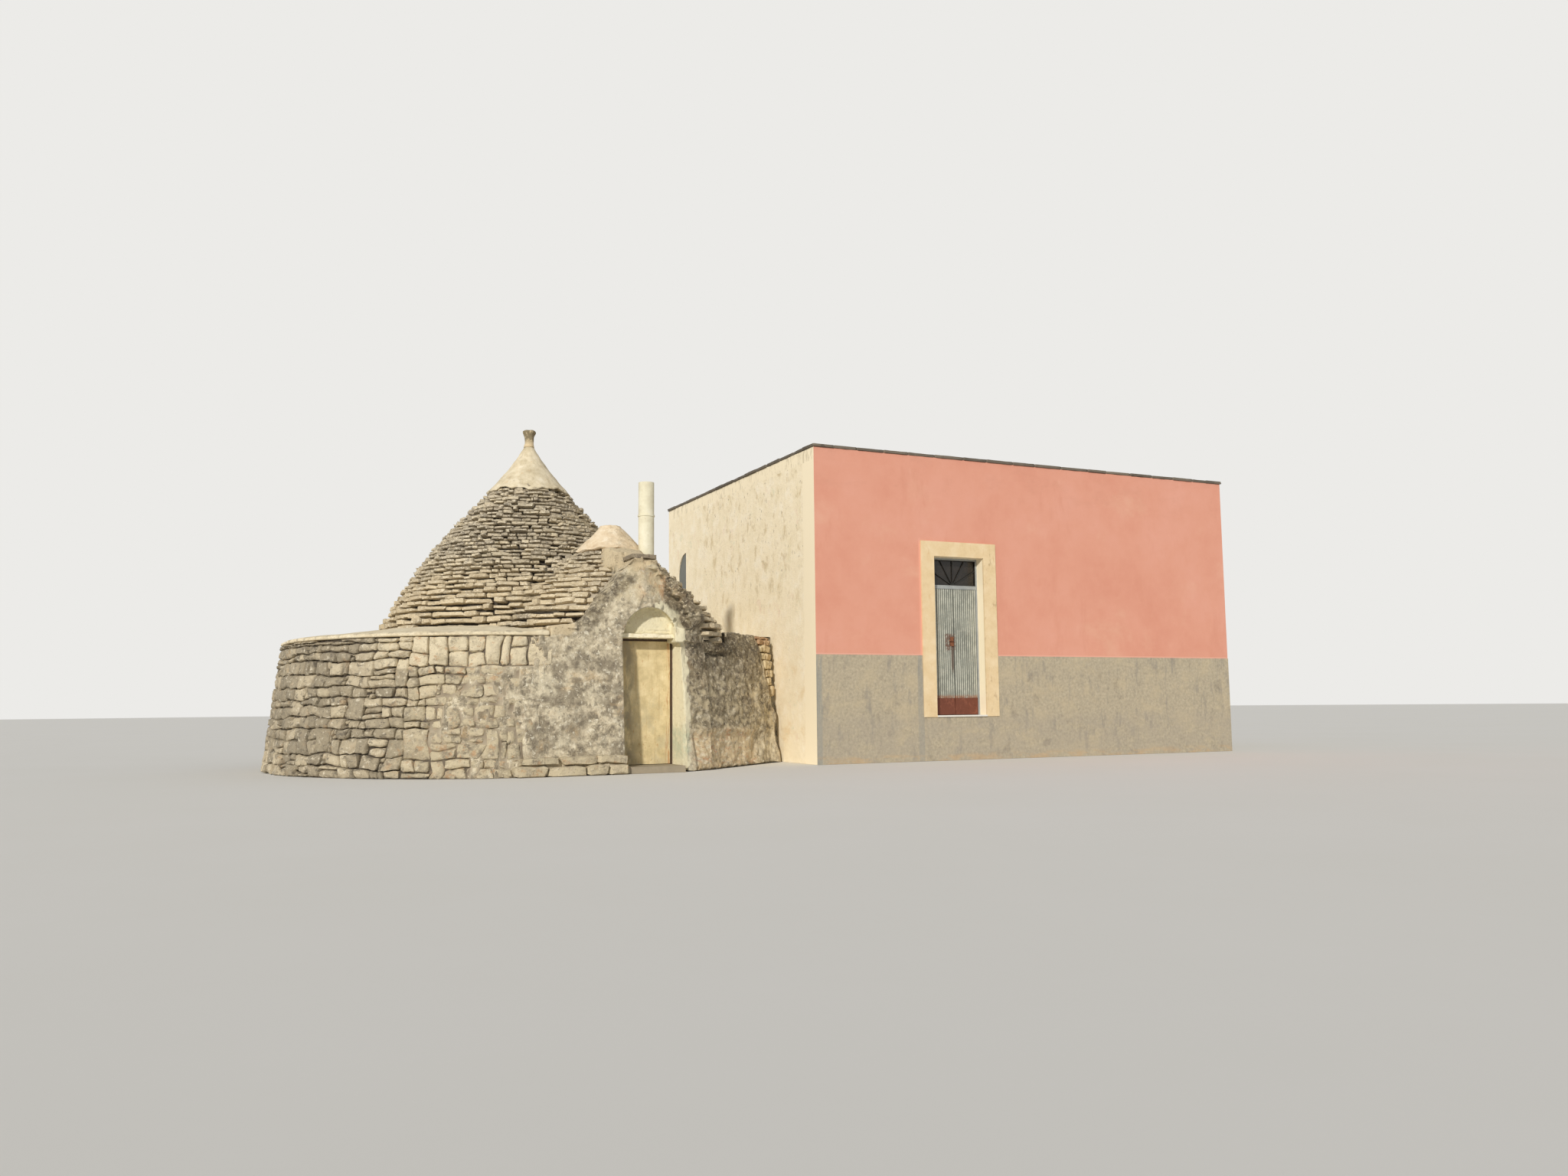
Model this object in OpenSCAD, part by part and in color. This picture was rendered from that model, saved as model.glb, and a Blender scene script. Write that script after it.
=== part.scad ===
// Trullo farmhouse: a round dry-stone trullo with a slate cone, joined to a flat-roofed rendered block.
// The origin is on the cone's axis at ground level, +X runs along the front and +Y goes into the depth.

/* [Round wall] */
// Radius of the round room
room_r = 1900; // [1700:10:2000]
// Outer radius of the round wall at the ground
drum_base_r = 3950; // [3850:10:4100]
// Outer radius of the round wall at its top
drum_top_r = 3735; // [3650:5:3800]
// Height of the round wall
drum_h = 1880; // [1800:10:2000]
// Rise of the plastered ledge above the wall top, at its outer edge
ledge_edge_h = 50; // [30:5:80]
// Rise of the plastered ledge above the wall top, at the foot of the cone
ledge_rise = 230; // [160:5:300]
// Thickness of the stone floor
trullo_floor_t = 60; // [40:5:80]

/* [Main cone] */
// How far the plinth that the slates start from stands out past the room
cone_wall = 500; // [450:10:600]
// How far the plinth stands out past the first slate course
plinth_out = 60; // [20:5:80]
// Radius of the last slate course
cone_top_r = 620; // [560:10:660]
// Height of the last slate course above the ground
cone_top_z = 4470; // [4300:10:4700]
// How far the cone's outline swells past a straight line
cone_bulge = 160; // [80:5:200]
// Number of slate courses on the main cone
cone_courses = 30; // [20:1:36]
// Thickness of the slate layer
slate_t = 170; // [120:5:200]
// Depth of the open joint under each slate course
joint_depth = 24; // [10:1:35]
// Height of the open joint under each slate course
joint_h = 16; // [8:1:24]
// Height of the inner dome's apex above the ground
dome_apex_z = 4350; // [4100:10:4350]
// How far the inner dome swells past a straight line
dome_bulge = 250; // [100:10:250]
// Number of corbelled rings in the inner dome
dome_rings = 14; // [8:1:18]
// Radius of the hole that the closing stone of the dome covers
dome_eye_r = 60; // [40:5:120]

/* [Cap and pinnacle] */
// How far the plaster cap's foot stands out past the last slate course
cap_over = 36; // [25:1:60]
// How far the cap turns down over the last slate course
cap_lap = 30; // [15:5:40]
// Height of the plaster cap
cap_h = 800; // [600:10:900]
// Radius of the neck under the pinnacle
neck_r = 80; // [60:2:100]
// How far the cap's outline sags inside a straight line
cap_sag = 42; // [0:2:60]
// Height of the pinnacle
pinnacle_h = 285; // [200:5:360]
// Radius of the pinnacle's flared cup
cup_r = 112; // [95:1:140]

/* [Small cone] */
// Distance of the small cone's axis to the right of the main axis
small_x = 780; // [700:10:860]
// Distance of the small cone's axis behind the entrance front
small_in = 1650; // [1600:10:1750]
// Radius of the small cone at its foot
small_foot_r = 1740; // [1650:10:1780]
// How far the small cone's plinth stands out past its first slate course
small_plinth_out = 40; // [20:5:60]
// How far the small cone's outline swells past a straight line
small_bulge = 69; // [40:1:90]
// Thickness of the small cone's slate layer
small_slate_t = 140; // [110:5:160]
// Radius of the small cone where its cap starts
small_top_r = 510; // [450:10:560]
// Height at which the small cone's cap starts
small_top_z = 3240; // [3150:10:3400]
// Number of slate courses on the small cone
small_courses = 14; // [10:1:18]
// Height of the small cone's plaster cap
small_cap_h = 420; // [300:10:500]
// Radius of the flat top of the small cap
small_flat_r = 190; // [140:10:240]
// Width of the rounded shoulder of the small cap
small_shoulder_w = 60; // [30:5:90]
// Radius of the corbelled vault over the way in
vault_r = 380; // [330:10:400]
// Height of the vault above the round wall
vault_h = 840; // [700:10:900]

/* [Entrance front] */
// How far the flat front stands in from the round wall's face, at the ground
front_in = 200; // [150:10:250]
// Lean of the flat front
front_lean = 4.5; // [3:0.5:6]
// Distance of the doorway's middle to the right of the main axis
doorway_x = 950; // [900:10:1000]
// Width of the doorway
doorway_w = 860; // [820:10:900]
// How much the right reveal opens towards the outside
splay = 70; // [40:5:100]
// Thickness of the gable wall under its flat top
gable_t = 555; // [500:5:600]
// Height of the gable's top
gable_top_z = 3000; // [2900:10:3100]
// Left end of the gable's flat top
gable_flat_left = 700; // [650:10:760]
// Right end of the gable's flat top
gable_flat_right = 990; // [950:10:1040]
// Reach of the gable's right slope past its flat top
gable_right_run = 990; // [900:10:1050]
// Reach of the gable's left slope past its flat top, down to where it flattens out
gable_knee_run = 800; // [740:10:900]
// Height above the round wall at which the left slope flattens out
gable_knee_h = 200; // [160:10:260]
// Reach of the whole left slope past the gable's flat top
gable_left_run = 1250; // [1200:10:1350]
// Height of the gable's left toe above the round wall
gable_left_toe_h = 100; // [60:10:160]
// Height of the gable's right toe above the round wall
gable_right_toe_h = 170; // [120:10:220]
// Number of stepped stones on the right slope
gable_steps = 7; // [5:1:9]
// Share of each step that is upright
gable_step_share = 0.65; // [0.5:0.05:0.8]
// Thickness of the capstone on the gable
capstone_t = 60; // [40:5:90]
// How far the capstone stands out past the gable's top
capstone_out = 30; // [10:5:50]
// How far the capstone reaches back past the gable
capstone_back = 120; // [80:10:160]
// Radius of the round-headed niche over the door
niche_r = 400; // [360:10:420]
// Depth of the niche
niche_d = 250; // [180:10:280]
// Height of the niche's middle above the round wall
niche_rise = 20; // [0:5:60]
// Thickness of the lintel slab
lintel_t = 55; // [40:5:80]
// Bearing of the lintel slab on each side of the doorway
lintel_bearing = 100; // [60:5:140]
// Height of the stone threshold
threshold_h = 90; // [80:5:120]
// How far the threshold's back edge stands in from the door leaf's inner face
threshold_in = 10; // [5:1:20]

/* [Footing stones] */
// Widths of the foundation stones left of the doorway, from left to right
footing_w = [370, 396, 398]; // [300:1:420]
// Heights of the foundation stones
footing_h = [250, 300, 340]; // [200:10:400]
// How far each foundation stone stands out past the front
footing_out = [90, 130, 110]; // [60:5:150]
// Open joint between the foundation stones
footing_joint = 12; // [6:1:20]
// Distance from the last foundation stone to the doorway
footing_end_in = 32; // [15:1:60]

/* [Trullo door] */
// Thickness of the door leaf
leaf_t = 40; // [30:1:45]
// Depth of the doorway in front of the leaf, at the ground
leaf_in = 550; // [510:5:560]
// Width of the door frame's posts
post_w = 30; // [20:1:40]
// Clear gap round a moving leaf
leaf_gap = 6; // [5:0.5:10]
// Extra gap under a moving leaf
sweep_gap = 2; // [0:0.5:5]

/* [Hinges] */
// Radius of a hinge's barrel
barrel_r = 8; // [7:0.5:12]
// Radius of a hinge's pin
pin_r = 5; // [3:0.5:6]
// Height of a hinge
hinge_h = 110; // [80:10:160]
// Length of a hinge's strap on the leaf
strap_w = 60; // [30:5:90]
// Distance of the outer hinges from a leaf's top and foot
hinge_in = 220; // [180:10:300]
// Thickness of a hinge's strap
strap_t = 3; // [2:0.5:5]
// Running gap of a hinge's pin in its knuckle
pin_gap = 0.3; // [0.2:0.1:0.5]

/* [Wing] */
// Where the wing's foot leaves the round wall, across
wing_start_x = 1900; // [1880:10:1950]
// Distance behind the block's front where the wing's foot meets the block
wing_end_in = 1250; // [1150:10:1400]
// Lean of the wing's face
wing_lean = 7; // [5:0.5:9]
// Height of the wing's top above the round wall
wing_rise = 170; // [120:10:220]

/* [Chimney] */
// Distance of the chimney to the right of the main axis
chimney_x = 1200; // [1150:10:1250]
// Distance of the chimney behind the entrance front
chimney_in = 1200; // [1150:10:1250]
// Outer radius of the chimney pipe
chimney_r = 118; // [100:1:130]
// Inner radius of the chimney pipe
flue_r = 92; // [75:1:95]
// Height of the chimney's foot
chimney_foot_z = 2850; // [2800:10:2900]
// Height of the chimney's top
chimney_top_z = 4280; // [4000:10:4500]
// Height of the joint between the two pipes
collar_z = 3760; // [3600:10:3900]
// Height of the joint's ring
collar_h = 24; // [16:2:40]
// How far the joint's ring stands out past the pipe
collar_out = 9; // [4:1:14]

/* [Block] */
// Distance of the block's left wall from the main axis
block_x = 3760; // [3720:10:3800]
// Distance of the block's front from the main axis
block_front_d = 3100; // [3000:10:3200]
// Length of the block along the front
block_w = 8500; // [7000:50:9500]
// Depth of the block
block_d = 6720; // [6400:20:7200]
// Thickness of the block's walls
wall_t = 400; // [300:10:450]
// Height of the walls
wall_h = 4750; // [4500:10:5000]
// Thickness of the roof slab
roof_t = 200; // [150:10:250]
// Thickness of the thin slabs along the roof's edge
edge_t = 50; // [30:5:70]
// How far the edge slabs stand out past the walls
edge_out = 30; // [15:5:45]
// Width of the edge slabs
edge_w = 380; // [250:10:450]
// Height of the floor inside
block_floor_z = 700; // [650:10:750]
// Thickness of the floor slab
block_floor_t = 150; // [120:10:200]
// Height of the rough grey dado
dado_h = 1690; // [1500:10:1800]
// Thickness of the dado's render
dado_t = 12; // [8:1:20]

/* [Block door] */
// Distance of the door opening from the block's left wall
opening_x = 2160; // [1900:10:2400]
// Width of the door opening
opening_w = 960; // [900:10:1040]
// Height of the opening's top
opening_top_z = 3310; // [3200:10:3400]
// Width of the stone surround
surround_w = 245; // [200:5:280]
// How far the surround stands proud of the wall
surround_out = 30; // [20:1:40]
// Thickness of the white sill
sill_t = 25; // [20:1:35]
// How far the sill's nose stands out past the surround
sill_nose = 10; // [5:1:20]
// Depth from the wall's face to the leaves
reveal_d = 170; // [140:5:200]
// Width of the steel frame
frame_w = 30; // [20:1:35]
// Height of the bar under the transom light
bar_z = 2800; // [2700:10:2850]
// Thickness of the bar under the transom light
bar_h = 60; // [40:5:70]
// Thickness of a leaf behind its ribs
sheet_t = 20; // [14:1:24]
// Height of the ribs
rib_h = 12; // [8:1:14]
// Number of ribs on each leaf
rib_count = 11; // [8:1:14]
// Height of the kick plates
kick_h = 270; // [220:10:320]
// Thickness of the kick plates
kick_t = 3; // [2:0.5:5]
// Gap between the two leaves
meeting_gap = 10; // [9:0.5:14]
// Height of the lock above the ground
lock_z = 1930; // [1800:10:2050]
// Width of the lock's plate
lock_w = 70; // [50:5:90]
// Height of the lock's plate
lock_h = 150; // [120:5:180]
// Thickness of the lock's plate
lock_t = 10; // [6:1:14]
// Reach of the lock's bolt and knob past its plate
lock_reach = 30; // [20:1:40]
// Number of fan bars in the transom grille
fan_bars = 5; // [3:2:7]
// Thickness of the grille's bars
grille_t = 12; // [8:1:16]
// Distance of the grille behind the frame's face
grille_in = 4; // [2:1:8]
// Thickness of the transom's glass
glass_t = 6; // [4:1:8]

/* [Side window] */
// Distance of the small window's near side from the block's front
window_y = 5710; // [5500:10:5800]
// Width of the small window, half an arch
window_w = 440; // [340:10:500]
// Height of the small window's foot
window_foot_z = 3150; // [3000:10:3300]
// Height of the small window's top
window_top_z = 3960; // [3860:10:4100]
// Depth of the shutter inside the small window
shutter_in = 20; // [10:5:200]
// Thickness of the shutter
shutter_t = 35; // [20:5:50]

/* [Hidden] */

// Sides of a full circle
$fn = 360;
// Degrees in a full turn
turn = 360;
// Gap between faces that seat on each other
seat = 0.3;
// A length past the whole house, for cuts
far = 20000;
// Overshoot of a cut past the face that it opens
over = 50;

// Directions in which the entrance front and the wing end, seen from the main axis
front_a0 = 262;
front_a1 = 300;
wing_a1 = 342;
drum_cuts = [wing_a1 - turn, 40, 100, 160, 212, front_a0];
// Half the open joint between two segments of the wall, as an angle
joint_a = atan(seat / 2 / room_r);

front_d = drum_base_r - front_in;
small_y = front_d - small_in;
chimney_y = front_d - chimney_in;
leaf_d = front_d - leaf_in;
gable_back_r = min(front_d, drum_top_r) - gable_t;
cone_base_r = room_r + cone_wall;
cone_foot_r = cone_base_r - plinth_out;
wing_start_d = sqrt(drum_base_r * drum_base_r - wing_start_x * wing_start_x);
wing_end_d = block_front_d - wing_end_in;
wing_h = drum_h + wing_rise;
slate_foot_z = drum_h + ledge_rise;
dome_split_z = 3000;
cap_foot_r = main_r(1 - 0.5 / cone_courses) + cap_over;
cap_foot_z = cone_top_z - cap_lap;
cap_top_z = cap_foot_z + cap_h;
small_axis = [small_x, -small_y];
doorway_left = doorway_x - doorway_w / 2;
doorway_right = doorway_x + doorway_w / 2;
niche_z = drum_h + niche_rise;

threshold_back_y = -leaf_d + leaf_t - threshold_in;
trullo_leaf_left = doorway_left + post_w + leaf_gap;
trullo_leaf_right = doorway_right - post_w - leaf_gap;
trullo_leaf_foot = threshold_h + leaf_gap + sweep_gap;
trullo_leaf_top = drum_h - post_w - leaf_gap;

trullo_hinge_z = [trullo_leaf_foot + hinge_in, trullo_leaf_top - hinge_in - hinge_h];

front_y = -block_front_d;
back_y = front_y + block_d;
right_x = block_x + block_w;
opening_left = block_x + opening_x;
opening_right = opening_left + opening_w;
sill_z = block_floor_z + sill_t;
leaf_w = (opening_w - 2 * frame_w - 2 * leaf_gap - meeting_gap) / 2;
leaf_foot = sill_z + leaf_gap + sweep_gap;
leaf_top = bar_z - leaf_gap;
leaf_hinge_z = [leaf_foot + hinge_in, leaf_top - hinge_in - hinge_h];
sheet_y = front_y + reveal_d + rib_h;
frame_d = rib_h + sheet_t;
wall_top = wall_h + roof_t;

// Outer radius of a cone part-way up, with a swell: t runs from 0 at the foot to 1 at the top
function swell(r0, r1, bulge, t) = r0 + (r1 - r0) * t + bulge * 4 * t * (1 - t);
function main_r(t) = swell(cone_foot_r, cone_top_r, cone_bulge, t);
function small_r(t) = swell(small_foot_r - small_plinth_out, small_top_r, small_bulge, t);
function dome_r(z) = swell(room_r, 0, dome_bulge, (z - drum_h) / (dome_apex_z - drum_h));
function drum_r(z) = drum_base_r - (drum_base_r - drum_top_r) * z / drum_h;

// Outline of stepped slate courses, each one a vertical edge over an open joint
function main_course(i) = let (
    pitch = (cone_top_z - slate_foot_z) / cone_courses,
    z = slate_foot_z + i * pitch,
    r = main_r((i + 0.5) / cone_courses)
) [[r - joint_depth, z], [r - joint_depth, z + joint_h], [r, z + joint_h], [r, z + pitch]];

function small_course(i) = let (
    pitch = (small_top_z - slate_foot_z) / small_courses,
    z = slate_foot_z + i * pitch,
    r = small_r((i + 0.5) / small_courses)
) [[r - joint_depth, z], [r - joint_depth, z + joint_h], [r, z + joint_h], [r, z + pitch]];

// Smooth line behind the slates of the main cone, up from the wall top
function main_core(gap) = [
    for (i = [0 : 8]) let (t = i / 8)
        [main_r(t) - slate_t - gap, i == 0 ? drum_h : slate_foot_z + t * (cone_top_z - slate_foot_z)]
];
function small_core(gap) = [
    for (i = [0 : 6]) let (t = i / 6)
        [small_r(t) - small_slate_t - gap, i == 0 ? drum_h : slate_foot_z + t * (small_top_z - slate_foot_z)]
];

// Corbelled rings of the inner dome, as steps from the wall top to the apex
function dome_steps() = let (pitch = (dome_apex_z - drum_h) / dome_rings) [
    for (i = [0 : dome_rings - 1]) let (z = drum_h + i * pitch, r = dome_r(z + pitch))
        each [[max(r, dome_eye_r), z], [max(r, dome_eye_r), z + pitch]]
];

module revolve(points) {
    rotate_extrude() polygon(points);
}

// Vertical wedge of the plan between two directions
module wedge(a0, a1, z0, z1) {
    mid = (a0 + a1) / 2;
    translate([0, 0, z0])
        linear_extrude(z1 - z0)
            polygon([
                [0, 0],
                [far * cos(a0), far * sin(a0)],
                [2 * far * cos(mid), 2 * far * sin(mid)],
                [far * cos(a1), far * sin(a1)]
            ]);
}

module box(x0, x1, y0, y1, z0, z1) {
    translate([x0, y0, z0]) cube([x1 - x0, y1 - y0, z1 - z0]);
}

// All that lies behind the leaning entrance front, set out by a distance
module behind_front(out = 0) {
    translate([0, -front_d - out, 0])
        rotate([-front_lean, 0, 0])
            translate([-far, 0, -far]) cube([2 * far, far, 2 * far]);
}

module left_of_block() {
    translate([-far, -far, -far]) cube([far + block_x, 2 * far, 2 * far]);
}

module drum_profile() {
    top = drum_h - seat;
    polygon([[room_r, 0], [drum_base_r, 0], [drum_r(top), top], [room_r, top]]);
}

module drum_sector(a0, a1) {
    intersection() {
        rotate([0, 0, a0 + joint_a]) rotate_extrude(angle = a1 - a0 - 2 * joint_a) drum_profile();
        left_of_block();
    }
}

// The whole space that the two cones fill, for cutting their neighbours
module main_envelope() {
    translate([0, 0, drum_h]) cylinder(r = cone_base_r + seat, h = ledge_rise + over);
    pitch = (cone_top_z - slate_foot_z) / cone_courses;
    revolve(concat(
        [[0, slate_foot_z], [main_r(0) + seat, slate_foot_z]],
        [for (i = [1 : cone_courses]) [main_r((i - 0.5) / cone_courses) + seat, slate_foot_z + i * pitch]],
        [[0, cone_top_z]]
    ));
}

module small_envelope() {
    translate([small_x, -small_y, drum_h]) cylinder(r = small_foot_r + seat, h = far);
}

// The gable's own room, with an open joint all round, for cutting the small cone that stands against it
module gable_zone() {
    difference() {
        intersection() {
            wedge(front_a0, front_a1, drum_h, far / 2);
            rotate([90, 0, 0]) linear_extrude(far) polygon(gable_outline(seat));
        }
        translate([0, 0, drum_h - over]) cylinder(r = gable_back_r - seat, h = far);
    }
}

// The capstone on the gable, set out by a gap
module capstone_block(gap = 0) {
    face = front_d - gable_top_z * tan(front_lean);
    box(gable_flat_left - capstone_out - gap, gable_flat_right + capstone_out + gap,
        -face - capstone_out - gap, -gable_back_r + capstone_back + gap,
        gable_top_z, gable_top_z + capstone_t + gap);
}

// Everything near the small cone, cut to the shapes beside it
module small_cone_cut() {
    difference() {
        children();
        main_envelope();
        gable_zone();
        capstone_block(seat);
        translate([chimney_x, -chimney_y, chimney_foot_z]) cylinder(r = chimney_r + seat, h = far);
    }
}

module trullo_floor() {
    color("tan") union() {
        cylinder(r = room_r - seat, h = trullo_floor_t);
        box(doorway_left + seat, doorway_right - seat, threshold_back_y, -room_r / 2, 0, trullo_floor_t);
    }
}

module drum_right() {
    color("darkkhaki") drum_sector(drum_cuts[0], drum_cuts[1]);
}

module drum_back_right() {
    color("tan") drum_sector(drum_cuts[1], drum_cuts[2]);
}

module drum_back_left() {
    color("darkkhaki") drum_sector(drum_cuts[2], drum_cuts[3]);
}

module drum_left() {
    color("tan") drum_sector(drum_cuts[3], drum_cuts[4]);
}

module drum_front_left() {
    color("darkkhaki") intersection() {
        drum_sector(drum_cuts[4], drum_cuts[5]);
        behind_front();
    }
}

module facade_ring() {
    intersection() {
        drum_sector(front_a0, front_a1);
        behind_front();
    }
}

module facade_left_pier() {
    color("burlywood") intersection() {
        facade_ring();
        box(-far, doorway_left, -far, far, -over, far);
    }
}

module facade_right_pier() {
    color("burlywood") difference() {
        intersection() {
            facade_ring();
            box(doorway_right, far, -far, far, -over, far);
        }
        // The right reveal opens outwards from the door frame
        translate([0, 0, -over])
            linear_extrude(drum_h + 2 * over)
                polygon([
                    [doorway_right - over, -leaf_d],
                    [doorway_right, -leaf_d],
                    [doorway_right + splay, -front_d],
                    [doorway_right + splay, -front_d - over],
                    [doorway_right - over, -front_d - over]
                ]);
    }
}

module right_wing() {
    run = block_x - wing_start_x;
    heading = atan2(wing_start_d - wing_end_d, run);
    color("gray") difference() {
        intersection() {
            wedge(front_a1, wing_a1, 0, wing_h);
            left_of_block();
            translate([wing_start_x, -wing_start_d, 0])
                rotate([0, 0, heading])
                    rotate([-wing_lean, 0, 0])
                        translate([-far, 0, -far]) cube([2 * far, far, 2 * far]);
        }
        translate([0, 0, -over]) cylinder(r = room_r, h = far);
        box(doorway_left, doorway_right, -far, 0, -over, drum_h);
        main_envelope();
        small_envelope();
    }
}

module drum_ledge() {
    color("wheat") difference() {
        intersection() {
            rotate([0, 0, wing_a1 + joint_a])
                rotate_extrude(angle = front_a0 + turn - wing_a1 - 2 * joint_a)
                    polygon([
                        [cone_base_r + seat, drum_h],
                        [drum_top_r, drum_h],
                        [drum_r(drum_h + ledge_edge_h), drum_h + ledge_edge_h],
                        [cone_base_r + seat, drum_h + ledge_rise]
                    ]);
            left_of_block();
            behind_front();
        }
        small_envelope();
    }
}

module dome_cut(z0, z1) {
    intersection() {
        difference() {
            revolve(concat([[0, drum_h]], main_core(seat), [[0, cone_top_z]]));
            revolve(concat(
                [[0, drum_h - over], [dome_r(drum_h), drum_h - over]],
                dome_steps(),
                [[0, dome_apex_z]]
            ));
        }
        box(-far, far, -far, far, z0, z1);
    }
}

module dome_lower() {
    color("lightgray") dome_cut(drum_h, dome_split_z);
}

module dome_upper() {
    color("silver") dome_cut(dome_split_z, cone_top_z);
}

module main_slates() {
    color("slategray") revolve(concat(
        [[cone_base_r, drum_h], [cone_base_r, slate_foot_z]],
        [for (i = [0 : cone_courses - 1]) each main_course(i)],
        [for (i = [8 : -1 : 0]) main_core(0)[i]]
    ));
}

module cone_cap() {
    color("wheat") difference() {
        revolve(concat(
            [[0, cap_foot_z]],
            [for (i = [0 : 8])
                let (t = i / 8)
                [swell(cap_foot_r, neck_r, -cap_sag, t), cap_foot_z + t * cap_h]],
            [[0, cap_top_z]]
        ));
        // The cap turns down over the last slate course
        translate([0, 0, cap_foot_z - over])
            cylinder(r = main_r(1 - 0.5 / cone_courses) + seat, h = over + cone_top_z - cap_foot_z);
    }
}

module pinnacle() {
    waist_r = neck_r * 0.82;
    color("dimgray") translate([0, 0, cap_top_z]) revolve([
        [0, 0],
        [neck_r, 0],
        [waist_r, pinnacle_h * 0.32],
        [waist_r * 1.12, pinnacle_h * 0.55],
        [cup_r, pinnacle_h * 0.85],
        [cup_r, pinnacle_h * 0.93],
        [cup_r * 0.6, pinnacle_h * 0.99],
        [0, pinnacle_h]
    ]);
}

module small_dome() {
    color("lightgray") small_cone_cut() difference() {
        translate(small_axis) revolve(concat([[0, drum_h]], small_core(seat), [[0, small_top_z]]));
        // A corbelled vault over the way in
        translate([doorway_x, -(gable_back_r + cone_base_r) / 2, 0]) revolve([
            [0, drum_h - over],
            [vault_r, drum_h - over],
            [vault_r, drum_h],
            [vault_r * 0.8, drum_h + vault_h / 3],
            [vault_r * 0.45, drum_h + vault_h * 2 / 3],
            [0, drum_h + vault_h]
        ]);
    }
}

module small_slates() {
    color("slategray") small_cone_cut() translate(small_axis) revolve(concat(
        [[small_foot_r, drum_h], [small_foot_r, slate_foot_z]],
        [for (i = [0 : small_courses - 1]) each small_course(i)],
        [for (i = [6 : -1 : 0]) small_core(0)[i]]
    ));
}

module small_cap() {
    color("wheat") small_cone_cut() translate(small_axis) revolve([
        [0, small_top_z],
        [small_top_r, small_top_z],
        [small_flat_r + small_shoulder_w, small_top_z + small_cap_h * 0.8],
        [small_flat_r, small_top_z + small_cap_h * 0.97],
        [0, small_top_z + small_cap_h]
    ]);
}

module chimney() {
    color("ivory") translate([chimney_x, -chimney_y, 0]) difference() {
        union() {
            translate([0, 0, chimney_foot_z]) cylinder(r = chimney_r, h = chimney_top_z - chimney_foot_z);
            translate([0, 0, collar_z]) cylinder(r = chimney_r + collar_out, h = collar_h);
        }
        translate([0, 0, chimney_foot_z - over]) cylinder(r = flue_r, h = far);
    }
}

// The half of a hinge on the frame: the lower knuckle, its strap on the post and the pin.
// The pin's axis is at the origin, the leaf runs along +x and its inner face is one barrel radius in front.
module hinge_pin(strap) {
    cylinder(r = barrel_r, h = hinge_h / 2);
    cylinder(r = pin_r, h = hinge_h);
    box(-leaf_gap / 2 - strap, 0, -barrel_r, -barrel_r + strap_t, 0, hinge_h / 2);
}

// The half of a hinge on the leaf: the upper knuckle with its bore, and a strap on the leaf's inner face
module hinge_knuckle() {
    difference() {
        translate([0, 0, hinge_h / 2 + pin_gap]) union() {
            cylinder(r = barrel_r, h = hinge_h / 2 - pin_gap);
            box(0, leaf_gap / 2 + strap_w, -barrel_r, -barrel_r + strap_t, 0, hinge_h / 2 - pin_gap);
        }
        cylinder(r = pin_r + pin_gap, h = hinge_h + over);
    }
}

// Outline of the gable seen from the front, with stepped stones down its right slope, set out by a gap
function gable_outline(gap = 0) = let (
    step_x = gable_right_run / gable_steps,
    step_z = (gable_top_z - drum_h - gable_right_toe_h) / gable_steps,
    left_x = gable_flat_left - gap,
    right_x = gable_flat_right + gap,
    top = gable_top_z + gap
) concat(
    [[left_x - gable_left_run, drum_h], [left_x - gable_left_run, drum_h + gable_left_toe_h + gap]],
    [[left_x - gable_knee_run, drum_h + gable_knee_h + gap]],
    [[left_x, top], [right_x, top]],
    [for (i = [1 : gable_steps])
        each [
            [right_x + (i - 1) * step_x, top - (i - 1 + gable_step_share) * step_z],
            [right_x + i * step_x, top - i * step_z]
        ]],
    [[right_x + gable_right_run, drum_h]]
);

module front_body() {
    intersection() {
        // The round wall's own outline, carried up past the gable's top
        cylinder(r1 = drum_base_r, r2 = drum_r(2 * drum_h), h = 2 * drum_h);
        behind_front();
        wedge(front_a0, front_a1, 0, far);
    }
}

module lintel_block() {
    box(doorway_left - lintel_bearing, doorway_right + lintel_bearing, -far, 0, drum_h, drum_h + lintel_t);
}

module gable() {
    color("burlywood") difference() {
        intersection() {
            front_body();
            rotate([90, 0, 0]) linear_extrude(far) polygon(gable_outline());
        }
        translate([0, 0, drum_h - over]) cylinder(r = gable_back_r, h = far);
        lintel_block();
        // The round-headed niche over the door
        intersection() {
            translate([doorway_x, 0, niche_z]) rotate([90, 0, 0]) cylinder(r = niche_r, h = far);
            box(-far, far, -far, far, drum_h, far);
            difference() {
                box(-far, far, -far, 0, -over, far);
                behind_front(-niche_d);
            }
        }
    }
}

module door_lintel() {
    color("gainsboro") difference() {
        intersection() {
            front_body();
            lintel_block();
        }
        translate([0, 0, drum_h - over]) cylinder(r = gable_back_r, h = far);
    }
}

module gable_capstone() {
    color("gray") capstone_block();
}

module threshold() {
    color("lightgray") intersection() {
        box(doorway_left + seat, doorway_right - seat, -far, threshold_back_y - seat, 0, threshold_h);
        behind_front();
    }
}

// Three foundation stones that stand out left of the doorway, with open joints between them
module footing_stones() {
    last = len(footing_w) - 1;
    // Right edge of each stone, worked back from the doorway
    function right_of(i) = i == last
        ? doorway_left - footing_end_in
        : right_of(i + 1) - footing_w[i + 1] - footing_joint;
    color("lightgray") for (i = [0 : last])
        intersection() {
            difference() {
                behind_front(footing_out[i]);
                behind_front();
            }
            box(right_of(i) - footing_w[i], right_of(i), -far, 0, 0, footing_h[i]);
        }
}

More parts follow.
